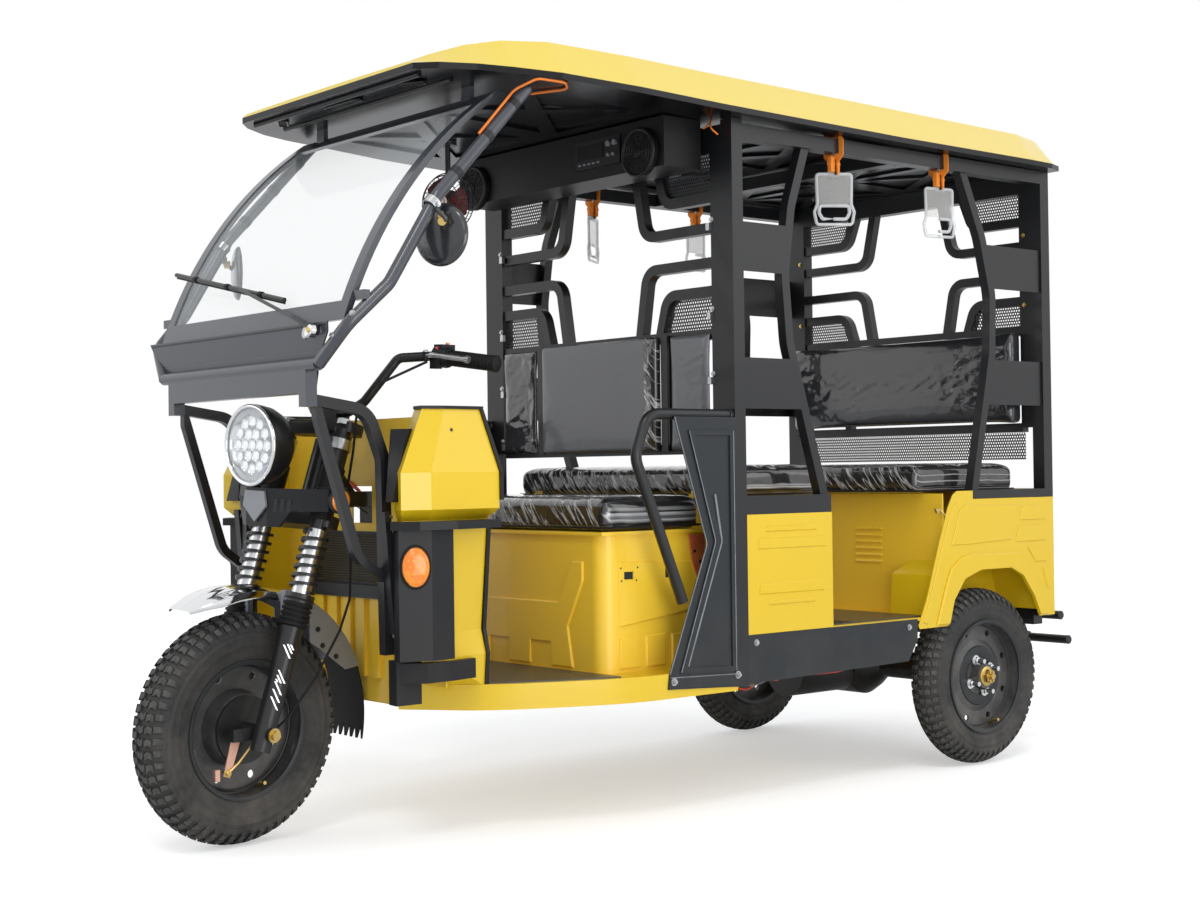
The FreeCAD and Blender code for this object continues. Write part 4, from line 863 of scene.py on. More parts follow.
@dataclass(frozen=True)
class Studio:
    """Pale ground, soft sky and lamps."""

    sky: tuple[float, float, float] = (0.95, 0.97, 1.0)
    sky_strength: float = 0.76
    sun: float = 0.5
    sun_width: float = 12.0
    sun_heading: Point = (-0.5, 0.55, -1.0)
    floor_glow: float = 0.42
    floor_colour: tuple = (0.82, 0.82, 0.82, 1)
    floor: tuple = ((-9000, -9000, -1), (9000, -9000, -1), (9000, 12000, -1), (-9000, 12000, -1))
    middle: Point = (0.0, 1000.0, 800.0)
    lamps: tuple = (("Key", (5200, -2600, 4200), 3.0, 36.0), ("Side", (4200, 3800, 3000), 3.5, 36.0),
                    ("Nose", (-2600, -4200, 2600), 3.0, 40.0), ("Low", (3600, 200, 500), 2.0, 42.0))

    def build(self) -> None:
        """Make the ground, the world and the lamps."""
        self._world()
        self._ground()
        middle = at(*self.middle)
        for name, place, size, power in self.lamps:
            data = bpy.data.lights.new(name, "AREA")
            data.size = size
            data.energy = power
            self._hang(data, at(*place), middle - at(*place))
        data = bpy.data.lights.new("Sun", "SUN")
        data.energy = self.sun
        data.angle = radians(self.sun_width)
        self._hang(data, Vector(), Vector(self.sun_heading))
        bpy.context.scene.view_settings.view_transform = "Standard"
        bpy.context.scene.view_settings.look = "None"

    def _hang(self, data: bpy.types.Light, place: Vector, heading: Vector) -> None:
        """Put a lamp at a place and turn it along a heading.

        Args:
            data: The lamp's data.
            place: Where it hangs, in metres.
            heading: The way that it shines.
        """
        lamp = bpy.data.objects.new(data.name, data)
        lamp.location = place
        lamp.rotation_mode = "QUATERNION"
        lamp.rotation_quaternion = heading.to_track_quat("-Z", "Y")
        bpy.context.scene.collection.objects.link(lamp)

    def _world(self) -> None:
        """Make the sky, which is plain white to the camera and in reflections."""
        world = bpy.data.worlds.new("Studio")
        world.use_nodes = True
        nodes = Nodes(world.node_tree)
        background = world.node_tree.nodes["Background"]
        background.inputs["Color"].default_value = (*self.sky, 1)
        background.inputs["Strength"].default_value = self.sky_strength
        white = nodes.add("ShaderNodeBackground", {"Color": WHITE, "Strength": 1.0})
        ray = nodes.add("ShaderNodeLightPath").outputs
        shiny = nodes.math("MAXIMUM", ray["Is Glossy Ray"], ray["Is Transmission Ray"])
        seen = nodes.math("MAXIMUM", ray["Is Camera Ray"], shiny)
        mix = nodes.add("ShaderNodeMixShader", {0: seen, 1: background.outputs[0], 2: white.outputs[0]})
        world.node_tree.links.new(mix.outputs[0], world.node_tree.nodes["World Output"].inputs["Surface"])
        bpy.context.scene.world = world

    def _ground(self) -> None:
        """Make the pale floor, which glows only where the camera sees it."""
        finish = bpy.data.materials.new("Ground")
        finish.use_nodes = True
        shader = finish.node_tree.nodes["Principled BSDF"]
        shader.inputs["Base Color"].default_value = self.floor_colour
        shader.inputs["Roughness"].default_value = 0.9
        shader.inputs["Specular IOR Level"].default_value = 0.0
        shader.inputs["Emission Color"].default_value = WHITE
        nodes = Nodes(finish.node_tree)
        looked_at = nodes.add("ShaderNodeLightPath").outputs["Is Camera Ray"]
        glow = nodes.times(looked_at, self.floor_glow)
        finish.node_tree.links.new(glow, shader.inputs["Emission Strength"])
        mesh = bpy.data.meshes.new("Ground")
        mesh.from_pydata([at(*p) for p in self.floor], [], [tuple(range(len(self.floor)))])
        mesh.materials.append(finish)
        floor = bpy.data.objects.new("Ground", mesh)
        bpy.context.scene.collection.objects.link(floor)


class Base(Vehicle):
    """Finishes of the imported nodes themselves."""

    def build(self) -> None:
        """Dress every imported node."""
        self.dress(SKYLIT_ROOF_YELLOW, "roof_skin")
        self.dress(YELLOW, "leg_shields", "rear_quarters", "rear_panel", "floor_pan", "side_panels")
        self.dress(BRIGHTENED_YELLOW, "front_cowl", "driver_box", "front_bench", "rear_bench")
        self.dress(BLACK_PAINT, "guard_hoops", "cabin_frame", "partition_frame", "rear_frame", "side_screens",
                   "arm_hoops", "handlebar", "rear_bumper", "chassis_frame", "fork",
                   "rear_axle", "leaf_springs", "cowl_grille", "wiper")
        self.dress(SCREEN_TUBE, "windscreen_frame", "apron_panel")
        self.dress(SATIN_BLACK, "kick_panels", "side_skirts", "mudguard")
        self.dress(WHEEL_GREY, "front_wheel", "rear_wheel_left", "rear_wheel_right")
        self.dress(PLASTIC, "shield_mouldings", "shield_collars", "fork_cover", "headlamp", "mirrors",
                   "cabin_fan", "battery_block")
        self.dress(DARK_PLASTIC, "speaker_beam")
        self.dress(SOFT_RUBBER, "brake_cable", smooth=60.0)
        self.dress(WIRE, "roof_lead", smooth=60.0)
        self.dress(ROOF_BLACK, "roof_tray")
        self.dress(GLASS, "windscreen_glass")
        self.dress(AMBER, "front_indicators")
        self.dress(RED, "tail_lamps")
        self.dress(RUBBER, "front_tyre", "rear_tyre_left", "rear_tyre_right", smooth=50.0)
        self.dress(SOFT_RUBBER, "mud_flap")
        self.dress(MAT_FILM, "floor_mats")
        self.dress(PERFORATED, "mesh_panels")
        self.dress(CLEAR, "hand_straps")
        self.dress(LEATHER, "partition_pads", "rear_backrest", "driver_cushion", "front_bench_cushion",
                   "rear_bench_cushion", bevel=6.0)


# Running gear.


@dataclass(frozen=True)
class Tyre:
    """One tyre, whose radius is its centre's height.

    Attributes:
        node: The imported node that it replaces.
        body: The body that it rides on.
        half: Half its width.
        centre: Its centre.
    """

    node: str
    body: Body
    half: float
    centre: Point


TYRES = (Tyre("front_tyre", Body.FRONT_WHEEL, 49.5, FRONT_HUB),
         Tyre("rear_tyre_left", Body.LEFT_WHEEL, 44.0, LEFT_HUB),
         Tyre("rear_tyre_right", Body.RIGHT_WHEEL, 44.0, RIGHT_HUB))


@dataclass
class Tyres(Vehicle):
    """Road tyres with slanted blocks in three rows on each side of the centre groove."""

    pitches: int = 58
    groove: float = 6.0
    drop: float = 26.0
    bead: float = 153.0
    shoulder: float = 48.0
    wall: tuple = ((0, 6), (1.2, 13), (0.2, 15), (1.6, 24), (2.2, 25), (1.6, 27), (0.8, 42), (1.4, 43),
                   (0.2, 45), (-3, 58))
    rows: tuple = (((2.5, 10.0, 17.0), (-0.34, 0.16), (0.0, 0.16, 0.02)),
                   ((20.5, 28.0, 35.0), (-0.16, 0.36), (0.0, -0.16, -0.02)),
                   ((38.0, 44.0, 48.5), (-0.36, 0.14), (0.0, 0.0, 0.0)))

    def build(self) -> None:
        """Replace the three plain tyres."""
        for tyre in TYRES:
            draft = Draft()
            draft.lathe(self._carcass(tyre), tyre.centre, LEFT, 96, closed=True)
            for step in range(self.pitches):
                for side, start in ((1, 0), (-1, 0.5)):
                    self._blocks(draft, tyre, 2 * pi * (step + start) / self.pitches, side)
            if tyre.body is Body.FRONT_WHEEL:
                draft.move(STEERING.matrix())
            made = draft.piece(tyre.node + "_tread", tyre.body, *self.paint(RUBBER, TREAD), smooth=28.0)
            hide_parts(tyre.node)

    def _crown(self, tyre: Tyre, x: float) -> float:
        """Return a tyre's outer radius at a distance from its centre plane."""
        return tyre.centre[2] - self.drop * (abs(x) / tyre.half) ** 2.3

    def _carcass(self, tyre: Tyre) -> list[Flat]:
        """Return the profile under the tread, down the ribbed walls to the beads.

        Args:
            tyre: The tyre.

        Returns:
            Pairs of a distance along the axle and a radius.
        """
        half, low = tyre.half, tyre.centre[2] - self.drop
        side = [(half * t, self._crown(tyre, half * t) - self.groove) for t in (0.2, 0.5, 0.75, 0.93)]
        side += [(half + out, low - down) for out, down in self.wall]
        side += [(half - 7, self.bead + 7), (half - 9, self.bead)]
        return [(-x, r) for x, r in reversed(side)] + side

    def _blocks(self, draft: Draft, tyre: Tyre, angle: float, side: int) -> None:
        """Add one pitch of tread blocks.

        Args:
            draft: The tyre's draft.
            tyre: The tyre.
            angle: Where the pitch starts, in radians.
            side: 1 for the tyre's left half, -1 for its right.
        """
        pitch = 2 * pi / self.pitches
        grow = tyre.half / TYRES[0].half
        centre = Vector(tyre.centre)
        for xs, edges, shifts in self.rows:
            tops, feet = [], []
            for x, shift in zip(xs, shifts):
                high = self._crown(tyre, x * grow)
                across = Vector((side * x * grow, 0, 0))
                for edge in edges:
                    out = spoke(angle + (edge + shift) * pitch)
                    tops.append(centre + across + out * high)
                    feet.append(centre + across * 0.995 + out * (high - self.groove - 1.5))
            draft.add(tops + feet, self._block_faces(len(xs)))
            for row in range(1, len(xs)):
                draft.finish_of[-3 * row] = 1
            if xs[-1] > self.shoulder:
                self._shoulder(draft, tyre, [angle + edge * pitch for edge in edges], side)

    def _block_faces(self, rows: int) -> list[tuple[int, ...]]:
        """Return the faces of a block.

        Args:
            rows: Number of rows of points across it.

        Returns:
            Its two ends, then the top and both flanks of each row.
        """
        base = rows * 2
        faces = [(0, 1, base + 1, base), (base - 2, base - 1, 2 * base - 1, 2 * base - 2)]
        for near in range(0, base - 2, 2):
            far = near + 2
            faces += [(near, far, far + 1, near + 1), (near, base + near, base + far, far),
                      (near + 1, far + 1, base + far + 1, base + near + 1)]
        return faces

    def _shoulder(self, draft: Draft, tyre: Tyre, angles: Sequence[float], side: int) -> None:
        """Add the foot of a shoulder block that runs down the tyre's wall.

        Args:
            draft: The tyre's draft.
            tyre: The tyre.
            angles: Where the foot starts and ends, in radians.
            side: 1 for the tyre's left wall, -1 for its right.
        """
        half, low = tyre.half, tyre.centre[2] - self.drop
        profile = ((half * 0.98, self._crown(tyre, half * 0.98)), (half + 1.8, low - 3),
                   (half + 1.4, low - 13), (half - 4, low - 13), (half - 6, low + 2))
        points = [Vector(tyre.centre) + Vector((side * x, 0, 0)) + spoke(angle) * r
                  for x, r in profile for angle in angles]
        rows = len(profile)
        faces = [(2 * i, 2 * ((i + 1) % rows), 2 * ((i + 1) % rows) + 1, 2 * i + 1) for i in range(rows)]
        faces += [tuple(range(0, 2 * rows, 2)), tuple(range(1, 2 * rows, 2))[::-1]]
        draft.add(points, faces)


@dataclass
class Wheels(Vehicle):
    """Rim flanges, hub studs, nuts and valves on the pressed steel wheels."""

    bead: float = 152.0
    rim_half: float = 41.0
    lip: tuple = ((-4, -6), (1, -7), (4, -3), (4.5, 4), (2, 5), (-2, 1))

    def build(self) -> None:
        """Trim the three wheels."""
        self._wheel("front_wheel_trim", Body.FRONT_WHEEL, Vector(FRONT_HUB), 1, False)
        self._wheel("left_wheel_trim", Body.LEFT_WHEEL, Vector(LEFT_HUB), 1, True)
        self._wheel("right_wheel_trim", Body.RIGHT_WHEEL, Vector(RIGHT_HUB), -1, True)

    def _wheel(self, name: str, body: Body, centre: Vector, side: int, studs: bool) -> None:
        """Trim one wheel.

        Args:
            name: The piece's name.
            body: The body that it rides on.
            centre: The wheel's centre.
            side: The way that the wheel faces along X.
            studs: Whether long studs stand round the hub nut.
        """
        draft = Draft()
        axis = Vector((side, 0, 0))
        lip = [(self.rim_half + out, self.bead + up) for out, up in self.lip]
        for face in (1, -1):
            draft.lathe([(face * a, r) for a, r in lip], centre, axis, 72, closed=True)
        draft.ring(centre + axis * 8, axis, self.bead - 14, 3.0, 72, 8)
        if studs:
            self._hub(draft, centre, axis)
        draft.current = 2
        down = Vector((0, 0.35, -0.94))
        valve = [centre + axis * out + down * reach for out, reach in ((12, 144), (26, 134), (44, 131))]
        draft.tube(valve, 4.2, 10)
        if body is Body.FRONT_WHEEL:
            draft.move(STEERING.matrix())
        made = draft.piece(name, body, *self.paint(SATIN_BLACK, CHROME, GOLD_NUT))

    def _hub(self, draft: Draft, centre: Vector, axis: Vector) -> None:
        """Add a raised hub with four long studs round its castle nut.

        Args:
            draft: The wheel's draft.
            centre: The wheel's centre.
            axis: The way that the wheel faces.
        """
        draft.lathe([(12, 84), (17, 80), (19, 60), (17, 52), (12, 50)], centre, axis, 48)
        draft.current = 1
        for turn in turns(4):
            out = spoke(turn + 0.4) * 46
            draft.disc(centre + axis * 16 + out, axis, 6.5, 34, 16)
            draft.bolt(centre + axis * 18 + out, axis, 13)
        draft.current = 2
        draft.lathe([(36, 27), (43, 27), (45, 24)], centre, axis, 24)
        draft.disc(centre + axis * 44, axis, 20, 13, 6)
        for turn in turns(6):
            draft.disc(centre + axis * 56 + spoke(turn) * 13, axis, 4, 5, 8)
        draft.disc(centre + axis * 44, axis, 8, 22, 16)


@dataclass
class Fork(Vehicle):
    """Springs, boots, clamps, marks and the front brake's arm."""

    leg_x: float = 100.0
    leg_radius: float = 24.2
    leg_taper: float = 0.02
    marks: tuple = ((326, 1.0, 0), (342, 1.0, 0), (358, 1.0, 0), (383, 1.0, 1), (377, 0.6, -3),
                    (373, 0.25, -7), (436, 1.0, -2), (443, 0.7, 3), (447, 0.4, 7))

    def build(self) -> None:
        """Dress the fork."""
        self._springs()
        self._fittings()
        self._brake()

    def _springs(self) -> None:
        """Make the bright tubes inside the springs."""
        draft = Draft()
        wall = [(0, 19), (0, 21.8), (150, 21.8), (150, 19)]
        for x in (-self.leg_x, self.leg_x):
            draft.lathe(wall, STEERING.leg(x, 556), STEERING.axis(), 32, closed=True)
        draft.move(STEERING.matrix())
        made = draft.piece("fork_tubes", Body.STEERING, *self.paint(STEEL), smooth=60.0)

    def _fittings(self) -> None:
        """Make boots, sleeves, clamp rings, top nuts, marks and axle nuts."""
        draft = Draft()
        up = STEERING.axis()
        boot = [(0, 26.5)]
        for low in range(4, 60, 11):
            boot += [(low, 33), (low + 5, 34), (low + 7, 29.5), (low + 10, 29.5)]
        boot.append((72, 27))
        clamp = [(0, 25.2), (0, 28.6), (24, 28.6), (24, 25.2)]
        for sign in (-1, 1):
            x = sign * self.leg_x
            draft.current = 0
            draft.lathe(boot, STEERING.leg(x, 486), up, 40)
            draft.lathe([(0, 27.6), (120, 27.6), (124, 25)], STEERING.leg(x, 722), up, 32)
            draft.current = 1
            draft.lathe(clamp, STEERING.leg(x, 878), up, 40, closed=True)
            draft.disc(STEERING.leg(x, 935), up, 18, 12, 6)
            self._marks(draft, sign)
            draft.current = 2
            draft.bolt(Vector((x + sign * 34, 0, STEERING.hub_z)), (sign, 0, 0), 14)
        draft.move(STEERING.matrix())
        made = draft.piece("fork_fittings", Body.STEERING, *self.paint(SOFT_RUBBER, STEEL, GOLD_NUT))

    def _marks(self, draft: Draft, sign: int) -> None:
        """Add the slanting strokes on the outside of a fork leg.

        Args:
            draft: The fork's draft.
            sign: 1 for the left leg, -1 for the right.
        """
        up = STEERING.axis()
        out = Vector((sign * 0.86, -0.5, 0)).normalized()
        across = up.cross(out).normalized()
        foot = self.marks[0][0]
        for height, size, shift in self.marks:
            reach = self.leg_radius + (height - foot) * self.leg_taper
            middle = STEERING.leg(sign * self.leg_x, height) + out * reach + across * shift * sign
            stroke = (up * 13 - across * 10 * sign) * size
            corners = [middle + across * 2.1 * a + stroke * b for a, b in SQUARE]
            draft.prism(corners, out * 1.2)

    def _brake(self) -> None:
        """Make the brake arm, its spindle and the cable stop."""
        draft = Draft()
        top, low = Vector((40, -21, 244)), Vector((40, -44, 166))
        along = (low - top).normalized()
        side = Vector((0, -along.z, along.y))
        outline = [top + side * 12 - along * 9, low + side * 8 + along * 9, low - side * 8 + along * 9,
                   top - side * 12 - along * 9]
        draft.prism(outline, (4.5, 0, 0))
        draft.block((33, 44), (-74, -62), (150, 176))
        draft.current = 1
        for centre, size in ((top, 9), (low, 8)):
            draft.bolt(centre + Vector((4, 0, 0)), LEFT, size)
        draft.disc(low - Vector((14, 0, 0)), LEFT, 5, 26, 14)
        draft.tube([low + Vector(p) for p in ((6, 0, 0), (8, 26, 22), (20, 52, 60))], 3.0, 8)
        looks = self.paint(PINK_ZINC, GOLD_NUT)
        made = draft.piece("front_brake_arm", Body.STEERING, *looks, bevel=1.0)


@dataclass
class Cover(Vehicle):
    """The badge-free front plate, slots and end lamps of the fork cover."""

    lamp_x: float = 166.0
    lamp_y: float = 150.0
    lamp_z: float = 767.0

    def build(self) -> None:
        """Trim the fork cover."""
        draft = Draft()
        draft.prism([(-34, 45, 786), (34, 45, 786), (42, 45, 752), (0, 45, 716), (-42, 45, 752)], (0, -6, 0))
        for side in (1, -1):
            draft.current = 1
            lean = Vector((side * 0.41, -0.91, 0))
            wide = Vector((side * 4.2, 1.9, 0))
            tall = Vector((side * 3, 0, 15))
            for step in range(3):
                middle = Vector((side * (58 + step * 15), 55 + step * 6.8, 754))
                draft.prism([middle + wide * a + tall * b for a, b in SQUARE], lean * 1.5)
            draft.ring((side * 165, self.lamp_y, self.lamp_z), (side, 0, 0), 27, 3.2, 40, 8)
            draft.block(beside(side, 96, 150), (140, 182), (789, 796))
            draft.current = 2
            centre = (side * self.lamp_x, self.lamp_y, self.lamp_z)
            draft.lathe([(0, 25), (3, 24.5), (5.5, 20), (7, 12), (7.5, 0.5)], centre, (side, 0, 0), 36)
        draft.move(STEERING.matrix())
        looks = self.paint(GREY_PLATE, SATIN_BLACK, AMBER)
        made = draft.piece("fork_cover_trim", Body.STEERING, *looks, bevel=0.8)


@dataclass
class Lamp(Vehicle):
    """The round headlamp: bucket, chrome ring, reflector, cells and clear lens."""

    centre: Point = (0.0, 34.0, 887.0)
    radius: float = 92.0
    cells: tuple = ((0.0, 1), (27.0, 6), (53.0, 12))

    def build(self) -> None:
        """Replace the plain headlamp."""
        draft = Draft()
        draft.lathe([(-6, 84), (-8, 90), (2, 92), (14, 90), (34, 86), (54, 76), (70, 60), (78, 40), (80, 12),
                     (80, 0.5), (74, 0.5), (66, 52), (20, 80)], self.centre, BACK, 64, closed=True)
        draft.block((-30, 30), (92, 112), (862, 912))
        draft.disc(self._spot(0, 0, 88), BACK, 26, 26, 24)
        draft.current = 1
        draft.ring(self._spot(0, 0, 26), BACK, self.radius - 4.5, 4.6, 72, 12)
        draft.lathe([(-3, 83), (6, 80), (18, 66), (24, 40), (26, 0.5), (28, 0.5), (26, 42), (20, 68),
                     (6, 83)], self.centre, BACK, 64, closed=True)
        cup = [(0, 6), (-18, 12.2), (-19, 13.2), (-16, 13.2), (2, 7)]
        bead = [(0, 9.5), (-4, 8), (-6.5, 4), (-7, 0.5)]
        for draft.current, y, profile in ((1, 50, cup), (2, 36, bead)):
            for reach, count in self.cells:
                for turn in turns(count):
                    draft.lathe(profile, self._spot(turn, reach, y), BACK, 20)
        draft.current = 3
        draft.lathe([(-8, 84), (-13, 74), (-18, 54), (-21, 30), (-22, 0.5), (-20, 0.5), (-16, 54), (-6, 84)],
                    self.centre, BACK, 64, closed=True)
        draft.move(STEERING.matrix())
        looks = self.paint(PLASTIC, CHROME, CELL, LENS)
        made = draft.piece("headlamp_unit", Body.STEERING, *looks, smooth=40.0)
        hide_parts("headlamp")

    def _spot(self, turn: float, reach: float, y: float) -> Vector:
        """Return a point of the lamp at an angle and distance from its axis."""
        return Vector((reach * cos(turn), y, self.centre[2] + reach * sin(turn)))


@dataclass
class Guard(Vehicle):
    """The front mudguard: a bright front strip and bolted grey side plates behind."""

    axle_z: float = 258.0
    radius: float = 314.0
    half: float = 60.0
    front: float = -30.0
    joint: float = 26.0
    back: float = 67.0
    steps: int = 30

    def _polar(self, x: float, angle: float, reach: float) -> Vector:
        """Return a point beside the wheel. The angle is in degrees from straight up, rearward."""
        turn = radians(angle)
        return Vector((x, reach * sin(turn), self.axle_z + reach * cos(turn)))

    def build(self) -> None:
        """Replace the plain mudguard."""
        draft = Draft()
        edge = [(self.half + 2, -24), (self.half + 3.5, -20), (self.half + 2, -6), (self.half - 10, 0.5),
                (20, 3), (6, 3)]
        section = [(-x, drop) for x, drop in edge] + [(0, 5)] + edge[::-1]
        section += [(x * 0.97, drop - 1.6) for x, drop in reversed(section[1:-1])]
        rings = []
        for i in range(self.steps + 1):
            t = i / self.steps
            angle = self.front + (self.back - self.front) * t
            narrow = 0.62 + 0.38 * min(1.0, t * 6) ** 0.5
            shallow = min(1.0, 0.35 + t * 5)
            rings.append([self._polar(x * narrow, angle, self.radius + 1 + drop * shallow)
                          for x, drop in section])
        change = round(self.steps * (self.joint - self.front) / (self.back - self.front))
        for draft.current, part in enumerate((rings[:change + 1], rings[change:])):
            draft.add([p for ring in part for p in ring], skin(len(part), len(section)))
        for side in (1, -1):
            draft.current = 1
            x = side * (self.half + 3)
            outline = [self._polar(x, angle, self.radius + 3) for angle in range(28, 69, 5)]
            inner = ((66, 279), (50, 248), (39, 238), (30, 296))
            outline += [self._polar(x, angle, reach) for angle, reach in inner]
            draft.prism(outline, (side * 2.5, 0, 0))
            draft.block(beside(side, 60, 88), (70, 84), (500, 566))
            draft.current = 2
            for y, z in ((186, 432), (226, 404), (172, 470)):
                draft.bolt((side * (self.half + 5.5), y, z), (side, 0, 0), 5.5)
        draft.move(STEERING.matrix())
        looks = self.paint(CHROME, GREY_PLATE, SATIN_BLACK)
        made = draft.piece("front_mudguard", Body.STEERING, *looks, smooth=40.0)
        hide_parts("mudguard")


@dataclass
class Bars(Vehicle):
    """Grips, levers and switches on the handlebar."""

    bend: Point = (215.0, 380.0, 1096.0)
    tip: Point = (375.0, 425.0, 1078.0)

    def build(self) -> None:
        """Trim the handlebar."""
        inner, outer = Vector(self.bend), Vector(self.tip)
        along = (outer - inner).normalized()
        draft = Draft()
        grip = [(38, 15), (38, 22), (42, 22), (44, 17.8)]
        for step in range(12):
            start = 47 + step * 9
            grip += [(start, 18.4), (start + 5, 18.4), (start + 6, 17.6), (start + 8, 17.6)]
        grip += [(160, 19.5), (167, 19.5), (170, 15), (170, 0.5)]
        draft.lathe(grip, inner, along, 32)
        draft.current = 1
        middle = inner + along * 20
        draft.lathe([(-17, 20), (-15, 24.5), (15, 24.5), (17, 20)], middle, along, 28)
        draft.block((222, 250), (372, 412), (1100, 1122))
        draft.block((226, 248), (356, 374), (1066, 1100))
        draft.current = 2
        draft.tube(rounded([(222, 352, 1096), (262, 335, 1096), (345, 356, 1086)], 22), 5.6, 12)
        draft.disc((345, 356, 1086), (0.96, 0.25, -0.1), 8, 9, 16)
        draft.bolt((222, 346, 1104), UP, 6)
        draft.current = 3
        draft.disc((236, 371, 1112), AHEAD, 5, 4, 16)
        draft.current = 4
        draft.disc((246, 392, 1122), UP, 4.5, 4, 16)
        draft.mirror()
        draft.move(STEERING.matrix())
        looks = self.paint(SOFT_RUBBER, PLASTIC, STEEL, RED, AMBER)
        made = draft.piece("handlebar_trim", Body.STEERING, *looks, smooth=40.0)


# Body trim.


@dataclass
class Nose(Vehicle):
    """The front wall's mesh, bar, red arc and wires, and the bolts of the front hoops."""

    wall_y: float = 338.0

    def build(self) -> None:
        """Make the grille and the small parts of the nose."""
        draft = Draft()
        draft.block((-215, 215), (self.wall_y + 1, self.wall_y + 2.4), (566, 676))
        draft.current = 1
        draft.block((-285, 285), (self.wall_y - 16, self.wall_y), (533, 560))
        for x in (-215, 215):
            draft.block((x - 5, x + 5), (self.wall_y - 3, self.wall_y), (562, 680))
        for z in (562, 680):
            draft.block((-220, 220), (self.wall_y - 3, self.wall_y), (z - 4, z + 4))
        draft.current = 2
        draft.block((-285, 285), (self.wall_y - 17.5, self.wall_y - 2), (529, 534))
        # A plate of painted shade behind the mesh, standing in for the shaded inside parts seen through it.
        draft.current = 3
        draft.block((-216, 216), (self.wall_y + 5, self.wall_y + 6.5), (565, 677))
        looks = self.paint(MESH, SATIN_BLACK, BLACK_PAINT, SHADED_YELLOW)
        made = draft.piece("cowl_grille_mesh", Body.CABIN, *looks, bevel=0.6)
        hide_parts("cowl_grille")
        self._arc()
        self._bolts()

    def _arc(self) -> None:
        """Make the red arc on the wall and the loose wire ends beside the mesh."""
        draft = Draft()
        arc = [(x, 335, z) for x, z in ((-118, 784), (-92, 800), (-50, 800), (-10, 780), (24, 748))]
        draft.tube(rounded(arc, 40), 4.5, 10)
        ends = (((62, 700), (96, 714), 1), ((70, 684), (100, 694), 1), ((84, 704), (128, 744), 2),
                ((30, 726), (-10, 742), 3))
        for start, end, draft.current in ends:
            draft.tube([(start[0], 333, start[1]), (end[0], 331, end[1])], 1.6, 8)
        looks = self.paint(RED_PAINT, YELLOW_WIRE, TEAL_WIRE, SATIN_BLACK)
        made = draft.piece("cowl_arc", Body.CABIN, *looks)

    def _bolts(self) -> None:
        """Make the bolts of the hoops' strips, the shields and the collars."""
        draft = Draft()
        for y, z in ((179, 721), (206, 468)):
            draft.bolt((318, y + 12, z), (0.2, -1, 0.1), 7.5)
            draft.disc((330, y + 24, z + 4), (0.2, -1, 0.1), 4, 9, 12)
        draft.current = 1
        draft.disc((393, 314, 912), (0.9, -0.35, 0.3), 6.5, 3, 20)
        draft.current = 2
        draft.disc((395.6, 313, 913), (0.9, -0.35, 0.3), 4.0, 2, 16)
        draft.mirror()
        made = draft.piece("nose_bolts", Body.CABIN, *self.paint(STEEL, SOFT_RUBBER, SATIN_BLACK))


@dataclass
class Indicators(Vehicle):
    """The oval amber lamps with moulded lens cells and a dark rim."""

    centre: Point = (386.5, 225.0, 617.0)
    outward: Point = (66.0, -29.0, 0.0)
    wide: float = 29.0
    high: float = 41.0
    sides: int = 40

    def build(self) -> None:
        """Replace the plain front indicators."""
        out, across, middle = self._frame()
        draft = Draft()
        dome = ((0.0, 1.04), (5.0, 1.04), (8.0, 0.94), (10.5, 0.72), (12.0, 0.42), (12.4, 0.02))
        draft.add(self._ovals(dome), skin(len(dome), self.sides)[:-1])
        draft.current = 1
        spots = [(0, 0)] + [(13 * cos(a), 16 * sin(a)) for a in turns(6)]
        spots += [(18 * cos(a + 0.3), 30 * sin(a + 0.3)) for a in turns(8)]
        for u, v in spots:
            lift = 11.4 - 5.2 * ((u / self.wide) ** 2 + (v / self.high) ** 2)
            spot = middle + across * u + Vector((0, 0, v)) + out * (lift - 1.5)
            draft.lathe([(0, 4.8), (1.8, 4.2), (3.0, 2.4), (3.3, 0.3)], spot, out, 12)
        draft.current = 2
        rim = ((-1, 1.06), (-1, 1.17), (4, 1.17), (6, 1.1), (6, 1.05))
        draft.add(self._ovals(rim), skin(len(rim), self.sides, closed=True))
        draft.mirror()
        looks = self.paint(AMBER, AMBER_CELL, SOFT_RUBBER)
        made = draft.piece("indicator_lamps", Body.CABIN, *looks, smooth=50.0)
        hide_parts("front_indicators")

    def _frame(self) -> tuple[Vector, Vector, Vector]:
        """Return the lamp's outward and sideways directions and its middle."""
        out = Vector(self.outward).normalized()
        return out, UP.cross(out), Vector(self.centre)

    def _ovals(self, rows: Sequence[Flat]) -> list[Vector]:
        """Return the points of ovals stacked outward.

        Args:
            rows: Each oval's height and its growth from the lamp's own oval.

        Returns:
            The points, one oval after the other.
        """
        out, across, middle = self._frame()
        return [middle + out * lift + across * (self.wide * grow * cos(a))
                + Vector((0, 0, self.high * grow * sin(a)))
                for lift, grow in rows for a in turns(self.sides)]


